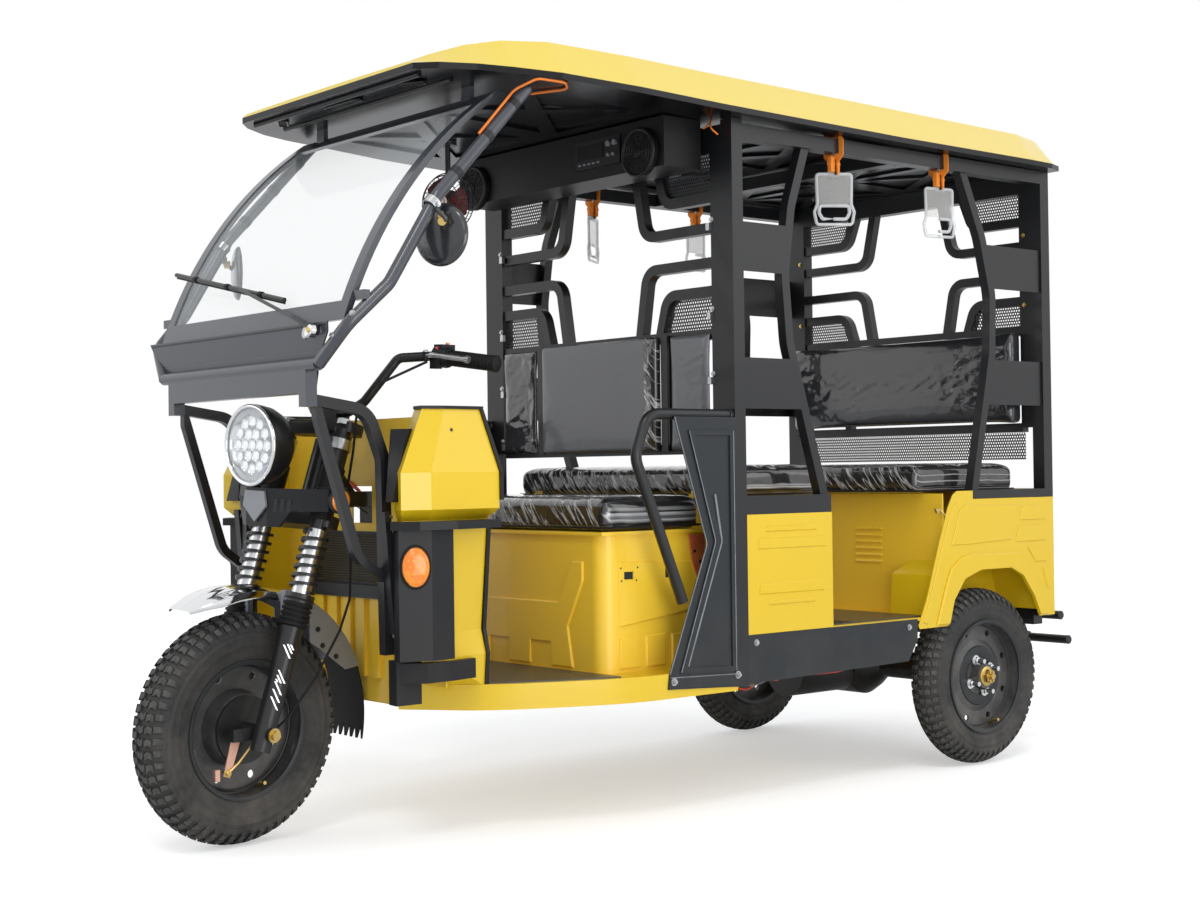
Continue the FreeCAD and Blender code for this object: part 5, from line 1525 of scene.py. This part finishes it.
@dataclass
class Screen(Vehicle):
    """Fittings of the windscreen: wiper nuts, tube collars and mirror clamps."""

    tube: tuple = ((462, 486, 1668), (460, 242, 1410), (456, 120, 1215), (430, 34, 1128), (352, 12, 1050))

    def build(self) -> None:
        """Make the fittings."""
        draft = Draft()
        self._collars(draft)
        draft.mirror()
        draft.current = 1
        draft.bolt((366, -16, 1119), AHEAD, 8.5)
        draft.current = 2
        draft.lathe([(-14, 8), (0, 8), (3, 14), (8, 13), (10, 8)], (341, -6, 1114), (0, -1, 0.15), 24)
        draft.bolt((403, 14, 1106), (-0.05, -0.94, 0.32), 6)
        draft.bolt((441, 39.5, 1150), (0.49, -0.69, 0.54), 6)
        draft.current = 3
        self._wiper(draft)
        looks = self.paint(BLACK_PAINT, GOLD_NUT, STEEL, SOFT_RUBBER, CHROME)
        made = draft.piece("screen_fittings", Body.CABIN, *looks)
        self._mirrors()
        self._apron()

    def _collars(self, draft: Draft) -> None:
        """Put swaged collars and an end cap on the tube that carries the roof.

        Args:
            draft: The fittings' draft.
        """
        top, bend = Vector(self.tube[0]), Vector(self.tube[1])
        for t in (0.16, 0.46, 0.8):
            collar = [(-9, 14.1), (-8, 15.3), (8, 15.3), (9, 14.1)]
            draft.lathe(collar, top.lerp(bend, t), (bend - top).normalized(), 28)
        draft.lathe([(-4, 14.6), (0, 14.6), (3, 11), (4, 0.5)], top, (top - bend).normalized(), 28)

    def _wiper(self, draft: Draft) -> None:
        """Make the wiper's spine, clips, rubber lip and pivot cap.

        Args:
            draft: The fittings' draft.
        """
        end, tip = Vector((-385, 62, 1306)), Vector((159, 44, 1200))
        along = (tip - end).normalized()
        down = Vector((0, 0.75, -0.66)) * 3
        draft.sweep([end + down, tip + down], [(-1, -7), (1, -7), (1, 7), (-1, 7)])
        for t in (0.2, 0.5, 0.8):
            draft.disc(end.lerp(tip, t) - along * 7, along, 7.5, 14, 12)
        draft.current = 4
        draft.lathe([(-14, 9), (0, 9), (0.5, 12), (10, 11), (13, 6)], (366, -8, 1119), AHEAD, 20)

    def _mirrors(self) -> None:
        """Replace the plain mirrors: shell, rim, glass, ball joint and clamp."""
        draft = Draft()
        centre, facing = Vector((446, 262, 1328)), Vector((0.35, -0.94, 0)).normalized()
        draft.lathe([(14, 0.5), (14, 26), (12, 48), (8, 61), (3, 67), (-1, 68), (-2, 66), (0, 64), (0, 0.5)],
                    centre, facing, 64)
        draft.tube(rounded([(478, 226, 1378), (486, 246, 1356), (454, 264, 1330)], 8), 5.2, 12)
        draft.current = 1
        draft.disc(centre - facing * 0.8, -facing, 64, 0.8, 64)
        draft.current = 2
        clamp, along = Vector((461, 226, 1390)), Vector((0, 0.69, 0.73))
        draft.lathe([(-9, 14.2), (-9, 18.5), (9, 18.5), (9, 14.2)], clamp, along, 28, closed=True)
        draft.bolt(clamp + Vector((18, 4, -2)), LEFT, 6)
        draft.current = 3
        draft.bolt(Vector((474, 240, 1366)), (1, -0.3, 0), 7)
        draft.disc(Vector((470, 252, 1352)), (0.6, -0.8, 0), 10, 14, 16)
        draft.mirror()
        looks = self.paint(GLOSS_PLASTIC, CHROME, STEEL, GOLD_NUT)
        made = draft.piece("mirror_units", Body.CABIN, *looks, smooth=40.0)
        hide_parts("mirrors")

    def _apron(self) -> None:
        """Make the fold along the top of the apron and its foot on the lower tube."""
        draft = Draft()
        tilt = Matrix.Translation((0, 20, 1140)) @ Matrix.Rotation(radians(14), 4, "X")
        turn = tilt @ Matrix.Translation((0, -20, -1140))
        draft.prism([(-398, -1, 1136), (398, -1, 1136), (398, -1, 1132), (-398, -1, 1132)], (0, 3, 0))
        draft.current = 1
        draft.prism([(-356, -1, 1080), (356, -1, 1080), (334, -1, 1052), (-334, -1, 1052)], (0, 3, 0))
        draft.move(turn)
        made = draft.piece("apron_fold", Body.CABIN, *self.paint(BLACK_PAINT, SCREEN_TUBE), bevel=0.8)


@dataclass
class Sides(Vehicle):
    """Bolts, holes, hooks and rods along the sides, under the floor and at the rear."""

    def build(self) -> None:
        """Make the small parts."""
        draft = Draft()
        for y in (864, 1071):
            draft.bolt((502, y, 326), LEFT, 8)
            draft.disc((504, y, 326), LEFT, 4, 8, 12)
        for y in (1137, 1702):
            draft.bolt((500, y, 398), LEFT, 7)
        draft.current = 1
        for y, z in ((1360, 1492), (1360, 640)):
            draft.disc((499, y, z), LEFT, 3.5, 1.2, 14)
        for side in (1, -1):
            for y, z in ((2404, 385), (2440, 312)):
                draft.lathe([(0, 13), (3, 13), (5, 11), (6, 0.5)], (side * 470, y, z), (side, 0, 0), 24)
        # Dark discs and blocks: painted shade standing in for the inside of the screw holes, the small hole
        # and the window notch on the driver box's side.
        for y, z in ((790, 590), (842, 590), (792, 560), (838, 560)):
            draft.disc((403.6, y, z), LEFT, 2.4, 0.8, 12)
        draft.block((400, 404.5), (930, 942), (562, 584))
        draft.block((390, 402), (801, 828), (564, 580))
        draft.current = 2
        draft.prism([(497, 1815, 706), (497, 1842, 706), (497, 1842, 696), (497, 1822, 694)], (5, 0, 0))
        draft.tube([(502, 1836, 700), (509, 1840, 692), (509, 1846, 684)], 2.4, 8)
        draft.current = 3
        plate = [(404, y, z) for y, z in ((1006, 662), (1054, 662), (1054, 560), (1036, 548), (1016, 600))]
        draft.prism(plate, (5, 0, 0))
        draft.current = 4
        for y, z in ((1022, 622), (1040, 596)):
            draft.disc((409, y, z), LEFT, 4, 1, 14)
        looks = self.paint(STEEL, SATIN_BLACK, GOLD_NUT, RED_OXIDE, SOFT_RUBBER)
        made = draft.piece("side_fittings", Body.CABIN, *looks)
        self._rods()
        self._hinges()
        self._edges()
        self._arms()

    def _arms(self) -> None:
        """Replace the plain arm rails by round tubes with their end pads and weld beads."""
        draft = Draft()
        x = 484
        line = rounded([(x, 1076, 950), (x, 806, 950), (x, 768, 850), (x, 912, 508)], 56, 12)
        draft.tube(line, 13.2, 20)
        tab = [(x - 13, y, z) for y, z in ((884, 556), (908, 566), (930, 512), (906, 502))]
        draft.prism(tab, (4, 0, 0))
        for step in (0.0, 1.0):
            spot = Vector((x, 1068 - step * 3, 950))
            draft.ring(spot, BACK, 13.4 + step, 1.8, 28, 6)
        draft.mirror()
        made = draft.piece("arm_tubes", Body.CABIN, *self.paint(BLACK_PAINT), smooth=50.0)
        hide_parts("arm_hoops")

    def _edges(self) -> None:
        """Make strips of painted highlight along the fold edges and the long bead of the dark side panels."""
        draft = Draft()
        lines = ((1.5, 500.4, ((879, 943), (978, 642), (854, 344))),
                 (1.4, 503.8, ((1066, 911), (1066, 338))),
                 (1.4, 503.8, ((922, 911), (1003, 648), (887, 346))),
                 (3.2, 501.6, ((1004, 760), (1024, 648), (910, 358))),
                 (1.4, 501.8, ((855, 336), (1075, 328))))
        for radius, x, line in lines:
            draft.tube(rounded([(x, y, z) for y, z in line], 30), radius, 8)
        draft.mirror()
        made = draft.piece("side_edges", Body.CABIN, *self.paint(EDGE_HIGHLIGHT), smooth=60.0)

    def _rods(self) -> None:
        """Make the brake rods, the wiring and its plugs under the floor."""
        draft = Draft()
        for x, z, mark in ((226, 290, 0), (300, 281, 0), (334, 292, 1), (390, 284, 2)):
            draft.current = mark
            run = [(x, 1076, z), (x + 6, 1300, z + 8), (x, 1540, z + 4), (x - 10, 1700, z + 20)]
            draft.tube(run, 4.5, 10)
        draft.current = 3
        for x, y in ((420, 1150), (428, 1186), (414, 1210), (430, 1124)):
            draft.block((x - 8, x + 8), (y - 12, y + 12), (284, 298))
        draft.current = 2
        loose = [(428, 1100, 292), (440, 1160, 276), (432, 1230, 296), (420, 1290, 288)]
        draft.tube(rounded(loose, 30), 2.2, 8)
        draft.current = 1
        draft.tube(rounded([(440, 1110, 296), (446, 1180, 286), (440, 1260, 300)], 30), 2.6, 8)
        made = draft.piece("floor_rods", Body.CABIN, *self.paint(STEEL, GREY_PLATE, RED_PAINT, YELLOW_WIRE))

    def _hinges(self) -> None:
        """Make the seat hinges, the bolts of the cross frames and the tail lamps' lenses."""
        draft = Draft()
        for side in (-1, 1):
            for z in (905, 1052, 1210, 1428):
                draft.bolt((side * 428, 1075, z), AHEAD, 6)
                draft.block((side * 420 - 4, side * 420 + 8), (1066, 1076), (z - 26, z - 8))
        draft.current = 1
        for x in (-440, 440):
            for z in (1000, 1280, 1480):
                draft.bolt((x, 2298, z), AHEAD, 5.5)
        for x in (318, -318):
            draft.block((x - 17, x + 17), (1113, 1122), (752, 766))
        draft.current = 2
        for side in (1, -1):
            draft.block(beside(side, 300, 336), (1106, 1117), (748, 758))
        made = draft.piece("frame_bolts", Body.CABIN, *self.paint(STEEL, GOLD_NUT, YELLOW), bevel=0.5)
        lamps = Draft()
        for side in (1, -1):
            x = beside(side, 424, 476)
            lamps.current = 0
            lamps.block(x, (2361, 2364), (604, 694))
            lamps.current = 1
            lamps.block(x, (2361, 2364.5), (566, 600))
        made = lamps.piece("tail_lenses", Body.CABIN, *self.paint(RED, AMBER), bevel=1.2)


# Cabin.


@dataclass(frozen=True)
class Pad:
    """One padded piece under clear film.

    Attributes:
        name: The piece's name.
        node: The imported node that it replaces.
        x, y, z: Its low and high values before it swells.
        edge: Radius of its edges.
        voxel: Size of its mesh before the last subdivision.
        cap: How far a point may move as it swells.
        fold: Height of the film's folds.
        flat_back: Whether it keeps its far side flat instead of its foot.
        fill: How full it is, from 0 to 1.
    """

    name: str
    node: str
    x: Flat
    y: Flat
    z: Flat
    edge: float = 20.0
    voxel: float = 8.0
    cap: float = 8.0
    fold: float = 1.6
    flat_back: bool = False
    fill: float = 0.85


CUSHIONS = (
    Pad("driver_seat_pad", "driver_cushion", (-417, 417), (737, 1046), (678, 752)),
    Pad("front_bench_pad", "front_bench_cushion", (-427, 427), (1122, 1487), (754, 822), fold=2.6),
    Pad("rear_bench_pad", "rear_bench_cushion", (-452, 452), (1796, 2234), (748, 820), fold=2.2),
)
BACKS = (
    Pad("rear_back_pad", "rear_backrest", (-437, 437), (2246, 2297), (938, 1204), edge=14, fold=3.4,
        flat_back=True),
    Pad("driver_back_right", "partition_pads", (-420, -264), (1070, 1080), (862, 1158), edge=5, voxel=6.0,
        cap=6.0, fold=4.2, flat_back=True),
    Pad("driver_back_middle", "partition_pads", (-232, 240), (1055, 1080), (862, 1158), edge=8, voxel=7.0,
        cap=4.0, fold=0.5, flat_back=True),
    Pad("driver_back_left", "partition_pads", (272, 420), (1070, 1080), (862, 1158), edge=5, voxel=6.0,
        cap=4.0, fold=1.2, flat_back=True),
)
PAD_LOOKS = (LEATHER, FILM, PAD_GREY)


@dataclass
class Seats(Vehicle):
    """Cushions and pads, swollen by a cloth simulation, then folded where the film bunches."""

    pressure: float = 4.0
    frames: int = 20
    quality: int = 4
    stretch: float = 18.0
    bending: float = 0.6
    strip_x: float = 196.0

    def build(self) -> None:
        """Replace every plain cushion."""
        for pad in CUSHIONS + BACKS:
            made = self._pad(pad)
            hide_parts(pad.node)
        self._seams()

    def _pad(self, pad: Pad) -> bpy.types.Object:
        """Make one pad: a rounded block, its simulated swelling and its folds.

        Args:
            pad: The pad's sizes.

        Returns:
            The piece.
        """
        draft = Draft()
        draft.block(pad.x, pad.y, pad.z)
        made = draft.piece(pad.name, Body.CABIN, *self.paint(*PAD_LOOKS), smooth=180.0)
        bevel = made.modifiers.new("Round", "BEVEL")
        bevel.width = pad.edge * MM
        bevel.segments = 4
        remesh = made.modifiers.new("Even", "REMESH")
        remesh.mode = "VOXEL"
        remesh.voxel_size = pad.voxel * MM
        self._apply(made)
        start = [v.co.copy() for v in made.data.vertices]
        self._swell(made)
        self._fold(made, pad, start)
        self._mark(made, pad)
        smooth = made.modifiers.new("Smooth", "SUBSURF")
        smooth.levels = smooth.render_levels = 1
        return made

    def _apply(self, made: bpy.types.Object) -> None:
        """Apply every modifier of a piece.

        Args:
            made: The piece.
        """
        graph = bpy.context.evaluated_depsgraph_get()
        mesh = bpy.data.meshes.new_from_object(made.evaluated_get(graph))
        made.modifiers.clear()
        old = made.data
        made.data = mesh
        bpy.data.meshes.remove(old)
        for look in self.paint(*PAD_LOOKS):
            if look.name not in mesh.materials:
                mesh.materials.append(look)
        mesh.polygons.foreach_set("use_smooth", [True] * len(mesh.polygons))

    def _swell(self, made: bpy.types.Object) -> None:
        """Run the cloth and apply it.

        Args:
            made: The pad before it swells.
        """
        cloth = made.modifiers.new("Cloth", "CLOTH")
        cloth.settings.use_pressure = True
        cloth.settings.uniform_pressure_force = self.pressure
        cloth.settings.effector_weights.gravity = 0.0
        cloth.settings.quality = self.quality
        cloth.settings.tension_stiffness = self.stretch
        cloth.settings.compression_stiffness = self.stretch
        cloth.settings.bending_stiffness = self.bending
        cloth.point_cache.frame_start = 1
        cloth.point_cache.frame_end = self.frames
        for frame in range(1, self.frames + 1):
            bpy.context.scene.frame_set(frame)
        self._apply(made)
        bpy.context.scene.frame_set(1)

    def _fold(self, made: bpy.types.Object, pad: Pad, start: list[Vector]) -> None:
        """Cap the swelling, keep the hard side flat and press in the film's folds.

        Args:
            made: The swollen pad.
            pad: Its sizes.
            start: Its points before it swelled.
        """
        cap = pad.cap * MM
        normals = [v.normal.copy() for v in made.data.vertices]
        for vertex, normal, first in zip(made.data.vertices, normals, start):
            move = vertex.co - first
            if move.length > cap:
                move = move * (cap / move.length)
            place = first + move
            height = self._back_fold(place, normal, pad) if pad.flat_back else self._seat_fold(place, normal)
            place += normal * height * pad.fold * MM
            if pad.flat_back:
                place.y = min(place.y, (pad.y[1] - ORIGIN_Y) * MM + 0.002)
            else:
                place.z = max(place.z, pad.z[0] * MM)
            place.x = max(min(place.x, (pad.x[1] + 3) * MM), (pad.x[0] - 3) * MM)
            vertex.co = place

    def _back_fold(self, place: Vector, normal: Vector, pad: Pad) -> float:
        """Return the height of the folds on an upright pad.

        Args:
            place: A point of the pad, in metres.
            normal: The way that the pad faces there.
            pad: Its sizes.

        Returns:
            The height, as a share of the pad's fold.
        """
        x, y, z = place * 1000
        spot = Vector((x / 90 + z / 60, y / 80, z / 24 - x / 70))
        height = self._ridge(spot, 0.9) - 1.1
        edge = min(abs(x - pad.x[0]), abs(x - pad.x[1])) / max(1.0, (pad.x[1] - pad.x[0]) / 2)
        return height * (1.25 - 0.75 * min(1.0, edge)) * max(0.0, -normal.y)

    def _seat_fold(self, place: Vector, normal: Vector) -> float:
        """Return the height of the folds on a seat: close at the front, broad on top.

        Args:
            place: A point of the seat, in metres.
            normal: The way that the seat faces there.

        Returns:
            The height, as a share of the pad's fold.
        """
        x, y, z = place * 1000
        front = max(0.0, -normal.y)
        ends = max(0.0, abs(normal.x) - 0.3)
        near = self._ridge(Vector(((x + z * 0.7) / 17, y / 60, z / 90)), 0.9) - 1.0
        top = self._ridge(Vector((x / 120, y / 70 + x / 300, z / 60)), 1.0) - 1.0
        return near * front + top * (1 - front) * 0.7 + near * ends * 0.3

    def _ridge(self, spot: Vector, rough: float) -> float:
        """Return ridged noise at a point."""
        return noise.ridged_multi_fractal(spot, rough, 2.1, 3, 1.0, 2.0)

    def _mark(self, made: bpy.types.Object, pad: Pad) -> None:
        """Give the front, the ends and the bunched strips their own finish: the bunched film, whose pale
        creases are painted highlights.

        Args:
            made: The folded pad.
            pad: Its sizes.
        """
        for polygon in made.data.polygons:
            if pad.name == "driver_back_middle":
                bunched = polygon.center.x > self.strip_x * MM
                polygon.material_index = 1 if bunched else 2
            elif pad.name == "driver_back_left":
                polygon.material_index = 2
            else:
                outward = max(-polygon.normal.y, abs(polygon.normal.x))
                polygon.material_index = 1 if outward > 0.5 and not pad.flat_back else 0

    def _seams(self) -> None:
        """Sew piping round the cushions and put edge strips behind the pads."""
        draft = Draft()
        for pad in CUSHIONS:
            z = pad.z[1] - 66
            corners = [(x, y, z) for x, y in zip(pad.x + pad.x[::-1], (pad.y[0],) * 2 + (pad.y[1],) * 2)]
            middle = sum(pad.x) / 2
            path = [(middle, pad.y[0], z), *corners[1:], corners[0], (middle - 1, pad.y[0], z)]
            draft.tube(rounded(path, 26), 2.6, 8)
        draft.current = 1
        for x in (-247, 256):
            draft.block((x - 12, x + 12), (1068, 1075), (866, 1156))
        made = draft.piece("seat_piping", Body.CABIN, *self.paint(SOFT_RUBBER, BLACK_PAINT))


@dataclass
class Straps(Vehicle):
    """The orange hand straps with their buckles and clear handles."""

    rail_x: float = 481.0
    half: float = 19.0
    rim: tuple = ((0, 1569), (46, 1569), (44, 1492), (52, 1472), (46, 1440), (0, 1440), (-46, 1440),
                  (-52, 1472), (-44, 1492), (-46, 1569), (-1, 1569))
    grip: tuple = ((0, 1488), (38, 1488), (40, 1470), (31, 1454), (0, 1454), (-31, 1454), (-40, 1470),
                   (-38, 1488), (-1, 1488))

    def build(self) -> None:
        """Replace the plain straps."""
        draft = Draft()
        for y, turn in ((1458, -34), (1874, -12)):
            self._web(draft, y)
            self._handle(draft, y, turn)
        draft.mirror()
        looks = self.paint(WEBBING, CLEAR, CLEAR_RIM, SATIN_BLACK)
        made = draft.piece("hand_strap_units", Body.CABIN, *looks, smooth=40.0)
        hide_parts("hand_straps")

    def _web(self, draft: Draft, y: float) -> None:
        """Add the web round the rail, its two runs and the buckle.

        Args:
            draft: The straps' draft.
            y: Where the strap hangs.
        """
        x = self.rail_x
        near, far = x - self.half - 2, x + self.half + 2
        draft.current = 0
        band = [(-1.1, -13), (-1.1, 13), (1.1, 13), (1.1, -13)]
        path = [(x - 2.5, 1566), (x - 2.5, 1600), (near, 1618), (near, 1654), (near + 4, 1659),
                (far - 4, 1659), (far, 1654), (far, 1618), (x + 2.5, 1600), (x + 2.5, 1566)]
        draft.sweep([(a, y, z) for a, z in path], band)
        draft.block((x - 6, x + 6), (y - 16, y + 16), (1574, 1612))
        draft.block((x - 7, x + 7), (y - 17.5, y + 17.5), (1592, 1597))
        draft.current = 3
        for z in (1583, 1604):
            draft.disc((x - 6.4, y, z), LEFT, 2.6, 12.8, 14)

    def _handle(self, draft: Draft, y: float, turn: float) -> None:
        """Add a handle: a clear plate with a thick rim, and the grip below it.

        Args:
            draft: The straps' draft.
            y: Where the strap hangs.
            turn: The handle's twist about the strap, in degrees.
        """
        x = self.rail_x
        local = Draft(current=1)
        local.block((x - 1.6, x + 1.6), (y - 42, y + 42), (1492, 1566))
        local.block((x - 4, x + 4), (y - 16, y + 16), (1560, 1574))
        local.current = 2
        for outline, bend, radius in ((self.rim, 9, 4.2), (self.grip, 8, 4.6)):
            local.tube(rounded([(x, y + across, z) for across, z in outline], bend), radius, 10)
        spin = Matrix.Translation((x, y, 0)) @ Matrix.Rotation(radians(turn), 4, "Z")
        local.move(spin @ Matrix.Translation((-x, -y, 0)))
        draft.join(local)


@dataclass
class Ceiling(Vehicle):
    """Pressed slots and beads under the roof, the lamp, the speakers and the sound panel."""

    height: float = 1686.0
    slots: tuple = (((257, 703), (279, 834), 15), ((446, 702), (456, 844), 15), ((260, 285), (300, 312), 12),
                    ((60, 300), (-60, 300), 12))

    def build(self) -> None:
        """Make the fittings under the roof."""
        draft = Draft()
        for first, last, half in self.slots:
            self._slot(draft, first, last, half)
            if first != last and first[0] > 100:
                self._slot(draft, (-first[0], first[1]), (-last[0], last[1]), half)
        draft.current = 0
        for y in (268, 352):
            draft.tube([(x, y, self.height + 3) for x in (-360, 360)], 6.5, 10)
        looks = self.paint(ROOF_BLACK, SOFT_RUBBER)
        made = draft.piece("ceiling_pressings", Body.CABIN, *looks, smooth=50.0)
        self._sound()
        self._lamp()

    def _slot(self, draft: Draft, first: Flat, last: Flat, half: float) -> None:
        """Add one rounded slot: a raised rim round a dark floor.

        Args:
            draft: The ceiling's draft.
            first: The middle of its first end.
            last: The middle of its other end.
            half: Half its width.
        """
        near, far = Vector((*first, self.height)), Vector((*last, self.height))
        along = (far - near).normalized()
        across = Vector((-along.y, along.x, 0))
        line = []
        for end, turn in ((far, 0), (near, pi)):
            for step in range(11):
                angle = pi * step / 10 + turn - pi / 2
                line.append(end + along * half * cos(angle) + across * half * sin(angle))
        draft.current = 0
        draft.tube(line, 3.2, 8, closed=True)
        draft.current = 1
        draft.prism([p - Vector((0, 0, 0.5)) for p in line], (0, 0, 2))

    def _sound(self) -> None:
        """Make the speaker grilles and the panel on the beam."""
        draft = Draft()
        for x in (-340, 340):
            draft.current = 0
            draft.ring((x, 917, 1588), BACK, 56, 4.5, 56, 10)
            for radius in (12, 22, 32, 42, 50):
                draft.ring((x, 915, 1588), BACK, radius, 1.1, 48, 6)
            for turn in turns(12):
                out = Vector((cos(turn), 0, sin(turn)))
                centre = Vector((x, 914.6, 1588))
                draft.tube([centre + out * 8, centre + out * 52], 1.0, 6)
            draft.current = 1
            draft.disc((x, 917.5, 1588), AHEAD, 50, 1.0, 40)
            draft.lathe([(0, 14), (4, 12), (6, 5), (6.4, 0.4)], (x, 916.5, 1588), AHEAD, 24)
        draft.current = 0
        draft.block((92, 262), (925, 930), (1576, 1646))
        draft.current = 1
        draft.block((100, 200), (923.6, 926), (1600, 1636))
        draft.current = 2
        for x, z, radius in ((222, 1628, 7), (246, 1628, 7), (222, 1600, 4), (240, 1600, 4)):
            draft.disc((x, 925, z), AHEAD, radius, 6, 18)
        for step in range(5):
            draft.block((104 + step * 18, 114 + step * 18), (923, 925), (1586, 1590))
        looks = self.paint(PLASTIC, SOFT_RUBBER, GREY_PLATE)
        made = draft.piece("sound_fittings", Body.CABIN, *looks, smooth=40.0)

    def _lamp(self) -> None:
        """Make the clear ceiling lamp and the red lead ends at the left post."""
        draft = Draft()
        draft.block((392, 440), (1180, 1270), (1668, 1678))
        draft.current = 1
        draft.block((396, 436), (1186, 1264), (1656, 1668))
        draft.current = 2
        lead = [(440, 1068, 1668), (455, 1050, 1655), (468, 1040, 1640), (470, 1060, 1628)]
        draft.tube(rounded(lead, 14), 2.4, 8)
        draft.tube(rounded([(436, 1066, 1664), (446, 1046, 1648), (452, 1030, 1642)], 12), 2.0, 8)
        made = draft.piece("ceiling_lamp", Body.CABIN, *self.paint(PLASTIC, LENS, WIRE), bevel=1.5)


@dataclass
class Fan(Vehicle):
    """The small fan: wire cage, dark red blades, round hub cap and stalk."""

    centre: Point = (-220.0, 760.0, 1520.0)
    facing: Point = (0.3, -0.9, 0.0)
    radius: float = 78.0

    def build(self) -> None:
        """Replace the plain fan."""
        front = Vector(self.facing).normalized()
        back = Vector(self.centre)
        draft = Draft()
        cage = ((2, self.radius - 4), (20, self.radius - 1.5), (34, self.radius - 10), (38, 50), (40, 22))
        for lift, radius in cage:
            draft.ring(back + front * lift, front, radius, 1.6, 48, 6)
        wire = ((40, 20), (38, 50), (34, 68), (20, self.radius - 2), (2, self.radius - 5))
        for turn in turns(28):
            draft.tube([back + front * lift + self._out(turn) * reach for lift, reach in wire], 0.9, 5)
        draft.disc(back, front, 34, 14, 28)
        draft.tube([(-216, 748, 1590), (-216, 748, 1678)], 7, 14)
        draft.disc((-216, 748, 1668), UP, 24, 10, 24)
        draft.current = 1
        for turn in turns(3):
            self._blade(draft, turn)
        draft.current = 2
        draft.disc(back + front * 38, front, 15, 4, 28)
        draft.current = 3
        draft.ring(back + front * 42.4, front, 9, 1.6, 28, 6)
        looks = self.paint(SATIN_BLACK, BLADE_RED, HUB_WHITE, RED_PAINT)
        made = draft.piece("fan_unit", Body.CABIN, *looks, smooth=40.0)
        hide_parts("cabin_fan")

    def _out(self, turn: float) -> Vector:
        """Return a direction across the fan's axis."""
        across = UP.cross(Vector(self.facing).normalized())
        return across * cos(turn) + UP * sin(turn)

    def _blade(self, draft: Draft, turn: float) -> None:
        """Add one twisted blade.

        Args:
            draft: The fan's draft.
            turn: The blade's angle.
        """
        front = Vector(self.facing).normalized()
        hub = Vector(self.centre) + front * 22
        rows = [hub + self._out(turn + wide * part) * reach + front * lift * part
                for reach, wide, lift in ((12, 0.5, 4), (34, 0.72, 8), (56, 0.8, 9), (68, 0.55, 7))
                for part in (-1, -0.4, 0.2, 0.8)]
        faces = [(r * 4 + c, r * 4 + c + 1, r * 4 + c + 5, r * 4 + c + 4) for r in range(3) for c in range(3)]
        below = [p - front * 1.4 for p in rows]
        under = [tuple(16 + i for i in reversed(face)) for face in faces]
        rim = [0, 1, 2, 3, 7, 11, 15, 14, 13, 12, 8, 4]
        sides = [(a, b, 16 + b, 16 + a) for a, b in zip(rim, rim[1:] + rim[:1])]
        draft.add(rows + below, faces + under + sides)


def main() -> None:
    """Build the whole scene."""
    logging.basicConfig(level=logging.INFO, format="%(message)s")
    bpy.ops.wm.read_factory_settings(use_empty=True)
    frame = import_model()
    Shot().build()
    Studio().build()
    effects = Effects()
    for part in (Base, Tyres, Wheels, Fork, Cover, Lamp, Guard, Bars, Nose, Indicators, Screen, Sides,
                 Seats, Straps, Ceiling, Fan):
        log.info("building %s", part.__name__)
        part(frame, effects).build()


if __name__ == "__main__":
    main()
